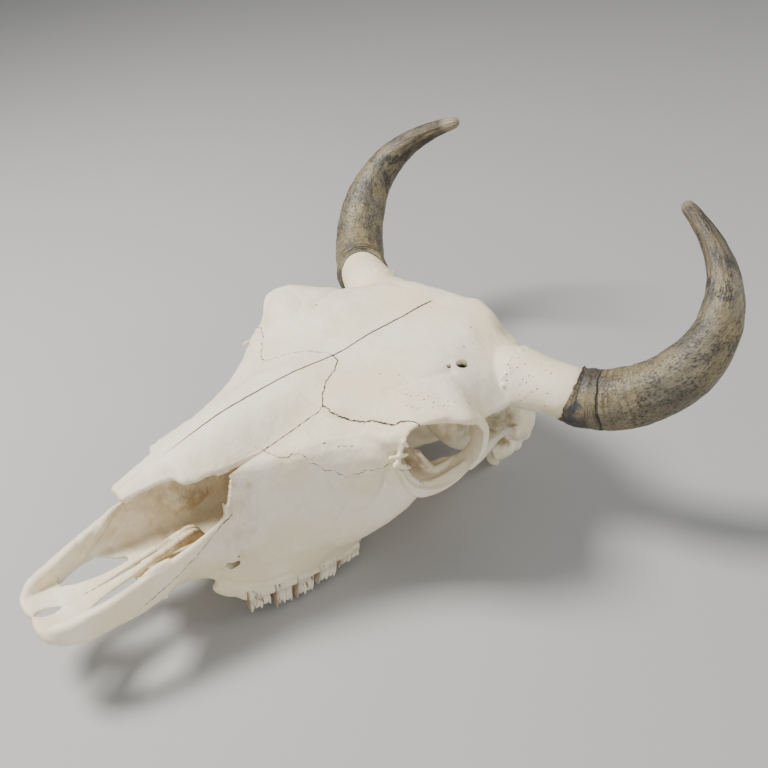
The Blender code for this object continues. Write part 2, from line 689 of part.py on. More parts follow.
def part_left_face(half):
    """The bones of the left face, in the order in which their sutures are cut."""
    territories = (("premaxilla_left", premaxilla_territory), ("frontal_left", frontal_territory),
                   ("nasal_left", nasal_territory), ("lacrimal_left", lacrimal_territory),
                   ("zygomatic_left", zygomatic_territory), ("palatine_left", palatine_territory))
    bones = [part_off(half, name, territory) for name, territory in territories]
    half.name = "maxilla_left"
    largest_body(half)
    return bones + [half]


def flatten_feet(item):
    """Grind what reaches below the floor to a flat."""
    below = prism("floor_block", ((-600, -60), (600, -60), (600, 0), (-600, 0)), "X", -400, 400)
    cut(item, below)


def material(name, colour, roughness):
    """A plain Principled material."""
    made = bpy.data.materials.new(name)
    made.use_nodes = True
    shader = made.node_tree.nodes["Principled BSDF"]
    shader.inputs["Base Color"].default_value = (*colour, 1)
    shader.inputs["Roughness"].default_value = roughness
    shader.inputs["Metallic"].default_value = 0.0
    made.diffuse_color = (*colour, 1)
    return made


def finish(item, colour, roughness):
    """Move a finished piece in with the bones, with its material and smooth shading."""
    put_in(item, COLLECTION)
    item.data.name = item.name
    item.data.materials.clear()
    item.data.materials.append(material(item.name + "_finish", colour, roughness))
    for face in item.data.polygons:
        face.use_smooth = True


def main():
    """Model the skull level, part it into its bones, and set it down on its feet."""
    clear_scene()
    rest = build_bone_mass()
    thin_out(rest, TRIANGLES)
    single, temporal = part_cranium(rest)
    cut(rest, midline_territory(0), "INTERSECT")
    paired = part_left_face(rest) + [temporal]
    sheath = horn_sheath()
    for item in single + paired + [sheath]:
        to_rest(item)
    for item in single:
        make_symmetric(item)
    for item in single + paired:
        if item.name in RESTING_BONES:
            flatten_feet(item)
        weld(item)
    twins = [mirror_of(item, item.name.replace("_left", "_right")) for item in paired + [sheath]]
    for item in single + paired + [sheath] + twins:
        horny = item.name.startswith("horn_sheath")
        finish(item, HORN_COLOUR if horny else BONE_COLOUR, HORN_ROUGHNESS if horny else BONE_ROUGHNESS)


main()
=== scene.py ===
"""A bison cow's skull in weathered bone, with both horn sheaths, over its CAD frame.

The skull is shaped level, in millimetres: +X to the animal's left, the tip of the nose
near y = 0, +Z up.  Its bones are melted into one mass, hollowed, parted along their
sutures and then tipped onto the feet that the CAD model rests on.
"""
import logging
import math
from collections.abc import Sequence
from dataclasses import dataclass, field, replace
from enum import Enum

import bmesh
import bpy
import numpy as np
from mathutils import Matrix, Vector, noise


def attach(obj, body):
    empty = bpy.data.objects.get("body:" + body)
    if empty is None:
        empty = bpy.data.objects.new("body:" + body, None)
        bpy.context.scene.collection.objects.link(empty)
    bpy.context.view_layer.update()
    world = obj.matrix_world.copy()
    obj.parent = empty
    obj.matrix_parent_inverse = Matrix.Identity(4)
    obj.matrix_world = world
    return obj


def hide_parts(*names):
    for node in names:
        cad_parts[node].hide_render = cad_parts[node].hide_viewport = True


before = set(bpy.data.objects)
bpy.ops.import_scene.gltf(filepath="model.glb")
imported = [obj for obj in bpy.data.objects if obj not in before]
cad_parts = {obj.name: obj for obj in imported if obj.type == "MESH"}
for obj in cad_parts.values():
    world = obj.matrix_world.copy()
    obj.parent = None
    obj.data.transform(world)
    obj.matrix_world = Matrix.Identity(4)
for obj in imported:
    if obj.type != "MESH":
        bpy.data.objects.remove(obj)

LOG = logging.getLogger("skull")
MM = 0.001
REST_TILT = math.radians(10.85)
REST_SHIFT = Vector((0, -299.83, 65.0))
VOXEL = 1.15
SHARP_ANGLE = math.radians(55)

Pair = tuple[float, float]
Triple = tuple[float, float, float]
Pairs = Sequence[Pair]
Route = Sequence[Triple]
Stations = Sequence[tuple[float, float, float, float, float]]
Solid = bpy.types.Object
Socket = bpy.types.NodeSocket


class Side(Enum):
    """Which half of the animal a piece belongs to."""

    LEFT = 1
    RIGHT = -1

    @property
    def word(self) -> str:
        """The side's name as it stands in a node's name."""
        return self.name.lower()


class Look(Enum):
    """Two names for kinds of material, bone and horn; main lists one beside each piece but does
    not use it.
    """

    BONE = "bone"
    HORN = "horn"


class Curve:
    """A smooth curve through (place, value) pairs, held level beyond its ends."""

    def __init__(self, pairs: Pairs) -> None:
        """Keep the pairs and the slope at each of them."""
        self.at = np.array([pair[0] for pair in pairs], float)
        self.value = np.array([pair[1] for pair in pairs], float)
        self.slope = np.gradient(self.value, self.at)

    def __call__(self, place: float) -> float:
        """Value at a place, by cubic interpolation between the two nearest pairs.

        Args:
            place: where the value is wanted.

        Returns:
            The value there.
        """
        place = min(max(place, self.at[0]), self.at[-1])
        i = min(max(int(np.searchsorted(self.at, place)) - 1, 0), len(self.at) - 2)
        span = self.at[i + 1] - self.at[i]
        u = (place - self.at[i]) / span
        (near, far), (leave, arrive) = self.value[i:i + 2], self.slope[i:i + 2]
        start = (1 + 2 * u) * (1 - u) ** 2 * near + u * (1 - u) ** 2 * span * leave
        end = u * u * (3 - 2 * u) * far - u * u * (1 - u) * span * arrive
        return float(start + end)


# ---- meshes -----------------------------------------------------------------------------------
def catmull(points: np.ndarray, steps: int, closed: bool) -> np.ndarray:
    """Subdivide a row of points by a curve that passes through each of them.

    Args:
        points: an array whose first axis runs along the row.
        steps: how many spans replace each span.
        closed: whether the row joins up with its start.

    Returns:
        The finer row, with the given points still in it.
    """
    if closed:
        before, here = np.roll(points, 1, 0), points
        after, beyond = np.roll(points, -1, 0), np.roll(points, -2, 0)
    else:
        padded = np.concatenate([2 * points[:1] - points[1:2], points,
            2 * points[-1:] - points[-2:-1]])
        before, here, after, beyond = padded[:-3], padded[1:-2], padded[2:-1], padded[3:]
    rows = []
    for k in range(steps):
        u = k / steps
        rows.append(0.5 * (2 * here + (after - before) * u
                           + (2 * before - 5 * here + 4 * after - beyond) * u ** 2
                           + (3 * here - before - 3 * after + beyond) * u ** 3))
    fine = np.stack(rows, 1).reshape((-1,) + points.shape[1:])
    return fine if closed else np.concatenate([fine, points[-1:]])


def add_object(name: str, mesh: bpy.types.Mesh) -> Solid:
    """Link a mesh to the scene as a new object."""
    item = bpy.data.objects.new(name, mesh)
    bpy.context.scene.collection.objects.link(item)
    return item


def poured(name: str, work: bmesh.types.BMesh) -> Solid:
    """Pour a finished working mesh into a new object.

    Args:
        name: the new object's name.
        work: the working mesh, which is freed.

    Returns:
        The new object.
    """
    mesh = bpy.data.meshes.new(name)
    work.to_mesh(mesh)
    work.free()
    return add_object(name, mesh)


def drop(item: Solid) -> None:
    """Remove an object together with its mesh.

    Args:
        item: the object.
    """
    mesh = item.data
    bpy.data.objects.remove(item)
    if not mesh.users:
        bpy.data.meshes.remove(mesh)


def skin(name: str, rings: np.ndarray) -> Solid:
    """Skin closed rings of millimetre points, with a flat cap at each end.

    Args:
        name: the new object's name.
        rings: an array of rings by points by 3.

    Returns:
        A closed object whose faces point outwards.
    """
    count, around = rings.shape[:2]
    near = np.arange(count - 1)[:, None] * around + np.arange(around)[None, :]
    step = np.arange(count - 1)[:, None] * around + (np.arange(around)[None, :] + 1) % around
    quads = np.stack([near, step, step + around, near + around], -1).reshape(-1, 4)
    caps = [list(range(around))[::-1], list(range((count - 1) * around, count * around))]
    mesh = bpy.data.meshes.new(name)
    mesh.from_pydata((rings.reshape(-1, 3) * MM).tolist(), [], quads.tolist() + caps)
    work = bmesh.new()
    work.from_mesh(mesh)
    bmesh.ops.recalc_face_normals(work, faces=work.faces)
    work.to_mesh(mesh)
    work.free()
    return add_object(name, mesh)


def loft(name: str, rings: Sequence[Route], around: int, along: int) -> Solid:
    """Skin rings after rounding them with smooth curves, both around and along.

    Args:
        name: the new object's name.
        rings: closed rings of points, all of one length.
        around: spans that replace each span of a ring.
        along: spans that replace each gap between rings.

    Returns:
        A closed object.
    """
    coarse = np.array([[tuple(point) for point in ring] for ring in rings], float)
    fine = catmull(coarse, along, False)
    return skin(name, catmull(fine.transpose(1, 0, 2), around, True).transpose(1, 0, 2))


def mirrored_ring(y: float, half: Pairs) -> list[Triple]:
    """A closed ring at y from half an outline of (x, z) points, top to bottom."""
    left = [(x, y, z) for x, z in half]
    return left + [(-x, y, z) for x, z in reversed(half) if x > 0.01]


def bar_rings(stations: Stations, up: Triple, sides: int, along: int) -> np.ndarray:
    """Rings of an oval-sectioned bar.

    Args:
        stations: (x, y, z, sideways, upward) rows: the bar's middle and its half sizes there.
        up: a direction that is upward for the section.
        sides: points in a ring.
        along: spans that replace each span between stations.

    Returns:
        An array of rings by points by 3.
    """
    rows = catmull(np.array(stations, float), along, False)
    route, sizes = rows[:, :3], rows[:, 3:]
    forward = np.gradient(route, axis=0)
    forward /= np.linalg.norm(forward, axis=1, keepdims=True)
    side = np.cross(forward, np.array(up, float))
    side /= np.linalg.norm(side, axis=1, keepdims=True)
    rise = np.cross(side, forward)
    angle = np.linspace(0, 2 * math.pi, sides, endpoint=False)
    return (route[:, None] + side[:, None] * (sizes[:, :1] * np.cos(angle))[..., None]
            + rise[:, None] * (sizes[:, 1:] * np.sin(angle))[..., None])


def bar(name: str, stations: Stations, up: Triple = (0, 0, 1), sides: int = 28,
        along: int = 4) -> Solid:
    """A closed oval-sectioned bar, from the same stations as its rings."""
    return skin(name, bar_rings(stations, up, sides, along))


def ellipsoid(name: str, centre: Triple, radii: Triple, turn: float = 0.0) -> Solid:
    """An ellipsoid in millimetres, turned about the upright axis.

    Args:
        name: the new object's name.
        centre: its middle.
        radii: its three half sizes.
        turn: degrees about the upright axis.

    Returns:
        A closed object.
    """
    work = bmesh.new()
    place = Matrix.Translation(Vector(centre) * MM) @ Matrix.Rotation(math.radians(turn), 4, "Z")
    place = place @ Matrix.Diagonal(Vector(radii) * MM).to_4x4()
    bmesh.ops.create_uvsphere(work, u_segments=48, v_segments=28, radius=1, matrix=place)
    return poured(name, work)


def flip(item: Solid) -> None:
    """Turn a left-hand object over to the right-hand side."""
    item.data.transform(Matrix.Diagonal((-1, 1, 1, 1)))
    item.data.flip_normals()


def mirror_image(item: Solid, name: str) -> Solid:
    """A right-hand twin of a left-hand object."""
    twin = add_object(name, item.data.copy())
    flip(twin)
    return twin


def on_both_sides(items: Sequence[Solid]) -> list[Solid]:
    """The left-hand objects and a right-hand twin of each."""
    return list(items) + [mirror_image(item, item.name + "_twin") for item in items]


def join(name: str, items: Sequence[Solid]) -> Solid:
    """Put several closed meshes into one object, overlaps and all.

    Args:
        name: the new object's name.
        items: the objects, which are used up.

    Returns:
        The joined object.
    """
    work = bmesh.new()
    for item in items:
        work.from_mesh(item.data)
        drop(item)
    return poured(name, work)


def apply_modifiers(item: Solid) -> None:
    """Replace an object's mesh by what its modifiers make of it.

    Args:
        item: the object.
    """
    depsgraph = bpy.context.evaluated_depsgraph_get()
    mesh = bpy.data.meshes.new_from_object(item.evaluated_get(depsgraph))
    old = item.data
    item.modifiers.clear()
    item.data = mesh
    if not old.users:
        bpy.data.meshes.remove(old)


def fuse(item: Solid, voxel: float, smoothing: int) -> None:
    """Melt overlapping bodies into one skin, then relax it.

    Args:
        item: the object that is changed.
        voxel: the grid's step in millimetres.
        smoothing: how many times the skin is relaxed.
    """
    remesh = item.modifiers.new("fuse", "REMESH")
    remesh.mode = "VOXEL"
    remesh.voxel_size = voxel * MM
    relax = item.modifiers.new("relax", "SMOOTH")
    relax.factor = 0.5
    relax.iterations = smoothing
    apply_modifiers(item)


def cut(item: Solid, cutter: Solid, operation: str = "DIFFERENCE") -> None:
    """Boolean an object with a cutter, which is then removed.

    Args:
        item: the object that is changed.
        cutter: a closed object.
        operation: DIFFERENCE, INTERSECT or UNION.
    """
    before = item.data.copy()
    for solver in ("MANIFOLD", "EXACT"):
        boolean = item.modifiers.new("cut", "BOOLEAN")
        boolean.operation = operation
        boolean.solver = solver
        boolean.object = cutter
        apply_modifiers(item)
        if len(item.data.polygons):
            break
        item.data = before.copy()
    drop(cutter)


def as_array(items: bpy.types.bpy_prop_collection, key: str) -> np.ndarray:
    """One vector of each of a mesh's items, as an array of items by 3."""
    flat = np.empty(len(items) * 3, np.float32)
    items.foreach_get(key, flat)
    return flat.reshape(-1, 3).astype(float)


def vertex_array(mesh: bpy.types.Mesh) -> np.ndarray:
    """A mesh's vertex positions in millimetres."""
    return as_array(mesh.vertices, "co") / MM


def normal_array(mesh: bpy.types.Mesh) -> np.ndarray:
    """A mesh's vertex normals."""
    return as_array(mesh.vertex_normals, "vector")


def store(item: Solid, name: str, kind: str, key: str, values: np.ndarray) -> None:
    """Keep one value per vertex in a named attribute."""
    attribute = item.data.attributes.new(name, kind, "POINT")
    attribute.data.foreach_set(key, values.astype(np.float32).ravel())


def store_marks_and_shade(item: Solid, colour: np.ndarray) -> None:
    """Keep how dark, brown and green each vertex is, painted shade included, for the finishes to
    read.
    """
    store(item, "wear", "FLOAT_COLOR", "color", np.clip(colour, 0, 1))


def set_vertices(mesh: bpy.types.Mesh, points: np.ndarray) -> None:
    """Write vertex positions given in millimetres."""
    mesh.vertices.foreach_set("co", (points * MM).astype(np.float32).ravel())
    mesh.update()


def falloff(gaps: np.ndarray, reach: float) -> np.ndarray:
    """A soft share of 1 at no gap, fading out beyond the reach."""
    return np.exp(-(gaps / reach) ** 2)


def gap_to_run(places: np.ndarray, start: np.ndarray, end: np.ndarray) -> np.ndarray:
    """Distance of each place from the straight run between two points."""
    along = end - start
    share = np.clip(((places - start) @ along) / (along @ along), 0, 1)
    return np.linalg.norm(places - start - share[:, None] * along, axis=1)


def drift(x: float, y: float, z: float, height: float = 1.0) -> float:
    """A smooth random height at a place in an endless field."""
    return height * noise.noise(Vector((x, y, z)))


def waves(points: np.ndarray, length: float, seed: int, layers: int = 6) -> np.ndarray:
    """Soft pseudo-random waves through space, of about unit size.

    Args:
        points: an array of positions in millimetres.
        length: the waves' typical length in millimetres.
        seed: picks one of many patterns.
        layers: how many plane waves are added up.

    Returns:
        One value per point.
    """
    chance = np.random.default_rng(seed)
    total = np.zeros(len(points))
    for _ in range(layers):
        direction = chance.normal(size=3)
        direction *= 2 * math.pi / (length * chance.uniform(0.7, 1.5)) / np.linalg.norm(direction)
        total += np.sin(points @ direction + chance.uniform(0, 2 * math.pi))
    return total / math.sqrt(layers)


# ---- the bones as one mass --------------------------------------------------------------------
@dataclass
class Face:
    """The nose and cheeks from the nasal opening to the front of the eye sockets."""

    roof_z: Pairs = ((84, 94), (100, 101), (117, 108.5), (145, 121.5), (166, 130.6), (185, 138),
        (200, 142.5), (214, 146), (229, 149.8), (244, 153), (256, 155), (268, 156.4), (289, 158.6),
        (304, 161.8), (320, 167), (354, 175), (392, 184), (421, 186), (438, 174), (452, 150))
    nasal_x: Pairs = ((84, 2), (86.5, 6), (89, 10), (95, 11), (106, 14), (114, 15.5), (121, 18),
        (127.5, 22), (129.5, 27.5), (136, 31.5), (149, 34.2), (162, 36.5), (172, 38), (190, 40.5),
        (210, 42.5), (250, 47))
    nasal_z: Pairs = ((84, 92), (95, 95.5), (106, 99.5), (121, 104), (128, 105.5), (136, 105.5),
        (149, 108.5), (162, 111), (172, 113), (210, 124), (250, 141))
    muzzle_top_z: Pairs = ((82, 6), (105, 26), (126, 46), (145, 64), (164, 80), (174, 88))
    muzzle_top_x: Pairs = ((82, 46), (105, 48), (126, 49), (145, 50), (164, 51), (174, 52))
    muzzle_foot_x: Pairs = ((82, 39), (110, 40), (135, 42), (150, 47), (174, 56))
    muzzle_foot_z: Pairs = ((94, 9), (110, 12.5), (118, 14.5), (134, 14.5), (143, 12.5), (149, 8),
        (155, 2), (160, -4), (166, -9), (174, -13))
    shoulder_x: Pairs = ((156, 44.5), (168, 46), (190, 53), (210, 62), (232, 74), (250, 88),
        (270, 104), (290, 70))
    shoulder_z: Pairs = ((156, 102), (168, 104), (190, 109.5), (210, 114), (232, 121), (250, 127),
        (270, 132), (290, 140))
    cheek_x: Pairs = ((168, 52), (190, 59), (210, 67), (232, 78), (250, 90), (270, 100), (290, 58))
    cheek_z: Pairs = ((168, 76), (190, 80), (210, 78), (232, 72), (250, 76), (270, 88), (290, 95))
    wall_x: Pairs = ((168, 55), (190, 60), (210, 70), (232, 79), (250, 81), (270, 77), (282, 72),
        (292, 56))
    wall_z: Pairs = ((168, 30), (190, 32), (210, 38), (232, 44), (250, 42), (270, 40), (290, 48))
    gum_x: Pairs = ((150, 50), (168, 56), (190, 61), (215, 64), (245, 65), (270, 63), (284, 58),
        (292, 46))
    gum_z: Pairs = ((140, 6), (150, 2), (157, -5), (165, -12), (185, -12.5), (200, -12), (240, -7),
        (270, -3), (284, 4), (292, 22))
    palate_z: Pairs = ((168, 3), (250, 8), (275, 12), (290, 26))
    cavity_x: Pairs = ((50, 30), (84, 38), (105, 43), (126, 44), (165, 46), (190, 52), (215, 55),
        (240, 52), (262, 34))
    nasal_thickness: float = 3.6
    jaw_edge_zy: Sequence[Sequence[float]] = (
        (78, 81, 87, 95, 103, 105, 107, 109, 118),
        (152, 155.5, 159.5, 162.3, 164.3, 163.2, 162.5, 164, 168))
    arch_stops: Sequence[float] = (-1, -0.8, -0.55, -0.28, 0, 0.28, 0.55, 0.8, 1)

    def __post_init__(self) -> None:
        """Make the two curves that other parts of the skull follow."""
        self.roof = Curve(self.roof_z)
        self.edge_x = Curve(self.nasal_x)
        self.edge_z = Curve(self.nasal_z)
        self.gum_line_x = Curve(self.gum_x)
        self.gum_line_z = Curve(self.gum_z)

    def solids(self) -> list[Solid]:
        """The muzzle and the face."""
        return [self.muzzle(), self.face()]

    def muzzle(self) -> Solid:
        """Lower front of the upper jaw: two side walls on the bony palate."""
        top_z, top_x = Curve(self.muzzle_top_z), Curve(self.muzzle_top_x)
        foot_x, foot_z = Curve(self.muzzle_foot_x), Curve(self.muzzle_foot_z)
        rings = []
        for y in range(94, 175, 4):
            x, z, fx, fz = top_x(y), top_z(y), foot_x(y), foot_z(y)
            rings.append(mirrored_ring(y, [
                (0, z), (x - 3, z), (x, z - 3), (0.5 * (x + fx) + 2.2, 0.5 * (z + fz)),
                (fx + 1.5, fz + 5), (fx - 3, fz), (fx - 16, 8.5), (0, 9)]))
        return loft("muzzle", rings, 4, 1)

    def face(self) -> Solid:
        """Cheeks, roof and palate, ring by ring from front to back."""
        curves = [Curve(pairs) for pairs in (
            self.shoulder_x, self.shoulder_z, self.cheek_x, self.cheek_z, self.wall_x,
            self.wall_z, self.gum_x, self.gum_z, self.palate_z)]
        rings = []
        for y in [156 + 4 * k for k in range(34)] + [292]:
            sx, sz, cx, cz, wx, wz, ax, az, pz = [curve(y) for curve in curves]
            ex, ez, top = self.edge_x(y), self.edge_z(y), self.roof(y)
            rings.append(mirrored_ring(y, [
                (0, top), (0.55 * ex, top - 0.3 * (top - ez)), (ex, ez), (sx, sz), (cx, cz),
                (wx, wz), (ax, az + 6), (ax - 3, az), (ax - 22, az + 2), (ax - 30, pz),
                (0, pz + 2)]))
        return loft("face", rings, 4, 1)

    def nasal_plates(self) -> Solid:
        """The free front of the two nasal bones, an arched roof over the opening."""
        rings = []
        for y in np.concatenate([np.arange(87.2, 140, 1.2), np.arange(140, 190, 3)]):
            chip = drift(y / 2.2, 5.1, 0.3, 0.7) + drift(y / 6, 1.1, 0.3, 0.6)
            ex, ez, top = self.edge_x(y) + chip, self.edge_z(y), self.roof(y)
            outer = [(x * ex, top - (top - ez) * x * x) for x in self.arch_stops]
            inner = [(0.97 * x, z - self.nasal_thickness) for x, z in reversed(outer)]
            rings.append([(x, y, z) for x, z in outer + inner])
        return loft("nasal_plates", rings, 3, 1)

    def cavity(self) -> Solid:
        """The nose's inside, open at the front, under the arched nasal bones."""
        half = Curve(self.cavity_x)
        rings = []
        for y in range(30, 265, 6):
            x, ex, ez, top = half(y), self.edge_x(y), self.edge_z(y), self.roof(y)
            thick = self.nasal_thickness
            shoulder = 84 if y < 170 else ez - 17
            rings.append(mirrored_ring(y, [
                (0, top - thick), (0.55 * ex, top - 0.3 * (top - ez) - thick),
                (ex, ez - thick - 0.6), (max(x - 4, ex + 1), shoulder), (x, shoulder - 22),
                (x - 4, 26), (0.72 * x, 14), (0, 14.5)]))
        return loft("nasal_cavity", rings, 3, 1)

    def slit(self) -> Solid:
        """The open slot between the left nasal bone and the upper jaw, tapering backwards."""
        row = ((150, 44.5), (158, 43.5), (165, 43), (172, 42.6), (180, 42.3), (188, 42.3),
               (197, 42.4), (207, 42.7))
        border = [(self.edge_x(y) + 0.45, y) for y, _ in row]
        border += [(outer, y) for y, outer in reversed(row)]
        ends = [np.array([(x, y, z) for x, y in border]) for z in (96.0, 132.0)]
        return skin("nose_slit", np.stack(ends))

    def jaw_edge(self) -> Solid:
        """A cutter that leaves a chipped front edge on the left upper jaw."""
        row = []
        for z in np.arange(79, 118, 0.8):
            y = float(np.interp(z, *self.jaw_edge_zy))
            row.append((y + drift(z / 2.1, 2.2, 0.4, 1.3), z))
        border = np.array([(140, 118), (140, 90), (150, 80.5)] + row)
        ends = [np.hstack([np.full((len(border), 1), x), border]) for x in (37.6, 62.0)]
        return skin("jaw_edge", np.stack(ends))

    def canal_wall(self) -> Solid:
        """The swelling inside the left wall that holds the canal of the face."""
        return bar("canal_wall", (
            (46, 142, 29, 3, 6), (44.5, 156, 28, 5.5, 8), (44, 170, 27, 5.5, 8),
            (49, 188, 27, 3, 6)))

    def canal(self) -> Solid:
        """The blind canal on the left cheek and the shallow groove that leads into it."""
        return bar("face_canal", (
            (57.5, 144, 25, 1.2, 1.5), (54, 153, 26.8, 2.6, 3.2), (51, 161.5, 28.8, 4.8, 4.8),
            (47.2, 168.5, 29, 4.2, 4.6), (44.8, 175, 28.5, 2.4, 2.6)))


@dataclass
class Forehead:
    """The frontal roof, broad over the eye sockets and waisted behind them."""

    face: Face
    half_width: Pairs = ((246, 58), (262, 82), (275, 101), (286, 113), (296, 123), (306, 134),
        (317, 142), (328, 141), (338, 134), (350, 127), (362, 122), (375, 119), (388, 118),
        (400, 116), (412, 112), (424, 104), (436, 90), (450, 66))
    edge_z: Pairs = ((246, 136), (262, 138), (275, 142), (290, 152), (304, 158), (318, 159),
        (332, 154), (346, 147), (362, 143.5), (380, 142), (400, 147), (424, 158), (440, 154),
        (452, 138))
    brow_rise: Pairs = ((250, -4), (290, 0), (320, 4), (345, 5), (380, 2), (410, -2), (440, -5))

    def solids(self) -> list[Solid]:
        """The roof and the narrow bone under it, between the sockets."""
        width, edge, rise = Curve(self.half_width), Curve(self.edge_z), Curve(self.brow_rise)
        rings = []
        for y in [246 + 4 * k for k in range(52)]:
            w, ez, top = width(y), edge(y), self.face.roof(y)
            mid = top + rise(y)
            roof = [(0, top), (0.28 * w, top + 0.4 * rise(y)), (0.52 * w, mid - 0.1 * (top - ez)),
                (0.78 * w, mid - 0.45 * (mid - ez))]
            rim = [(w - 5, ez + 1), (w, ez - 4), (w - 5, ez - 9)]
            rings.append(mirrored_ring(y, roof + rim + [(0.74 * w, ez - 15), (0.5 * w, ez - 24),
                (0, ez - 30)]))
        inner = []
        for y, half, low, high in ((278, 60, 30, 140), (292, 46, 34, 148), (306, 40, 38, 154),
                (322, 38, 42, 160), (338, 42, 44, 165), (352, 50, 46, 170), (364, 54, 48, 172)):
            inner.append(mirrored_ring(y, [(0, high), (half, high - 6),
                (half, 0.6 * high + 0.4 * low), (0.62 * half, 0.3 * high + 0.7 * low),
                (0.45 * half, low), (0, low)]))
        return [loft("forehead", rings, 4, 1), loft("between_orbits", inner, 4, 4)]


@dataclass
class Braincase:
    """The skull's round rear, its nape and base, and what hangs below them."""

    nape_outline: Pairs = ((0, 173), (34, 171), (60, 160), (80, 142), (97, 118), (103, 96),
        (98, 78), (80, 64), (58, 56), (34, 50), (0, 48))
    nape_centre: float = 108

    def solids(self) -> list[Solid]:
        """Brain chamber, nape and base."""
        rings, middle = [], self.nape_centre
        for y, grow, lift in ((398, 0.66, 8), (412, 0.88, 3), (424, 0.99, 0), (434, 1.0, 0),
                              (443, 0.93, -1), (450, 0.76, -2)):
            rings.append(mirrored_ring(y, [(x * grow, middle + (z - middle) * grow + lift)
                                           for x, z in self.nape_outline]))
        base = bar("base", (
            (0, 300, 50, 17, 12), (0, 345, 54, 20, 12), (0, 400, 52, 23, 12), (0, 440, 54, 27, 12),
            (0, 458, 60, 24, 10)))
        return [ellipsoid("brain", (0, 392, 114), (61, 60, 64)), loft("nape", rings, 4, 4), base]

    def left_solids(self) -> list[Solid]:
        """The left condyle, jugular process, ear bulla and pterygoid wing."""
        jugular = bar("jugular", (
            (66, 434, 78, 13, 15), (61, 439, 60, 11, 13), (54, 443, 44, 8, 11),
            (48, 446, 31, 6, 9), (46, 447, 19, 5.5, 7.5)), up=(1, 0, 0))
        wing = bar("pterygoid", (
            (21, 288, 26, 3.0, 14), (20, 306, 22, 2.8, 16), (19, 324, 22, 2.6, 18),
            (19, 340, 34, 2.6, 16), (21, 352, 50, 4, 10)))
        return [ellipsoid("condyle", (26, 456, 60), (14, 12, 18), -14), jugular,
            ellipsoid("bulla", (37, 404, 36), (10, 14, 12), 12), wing]

    def hollows(self) -> list[Solid]:
        """The inner nostrils and the foramen magnum."""
        choana = bar("choana", (
            (0, 262, 34, 13, 12), (0, 290, 26, 15, 20), (0, 318, 22, 15.5, 21),
            (0, 352, 20, 16, 22)))
        return [choana, ellipsoid("spine_hole", (0, 450, 84), (17, 42, 16))]


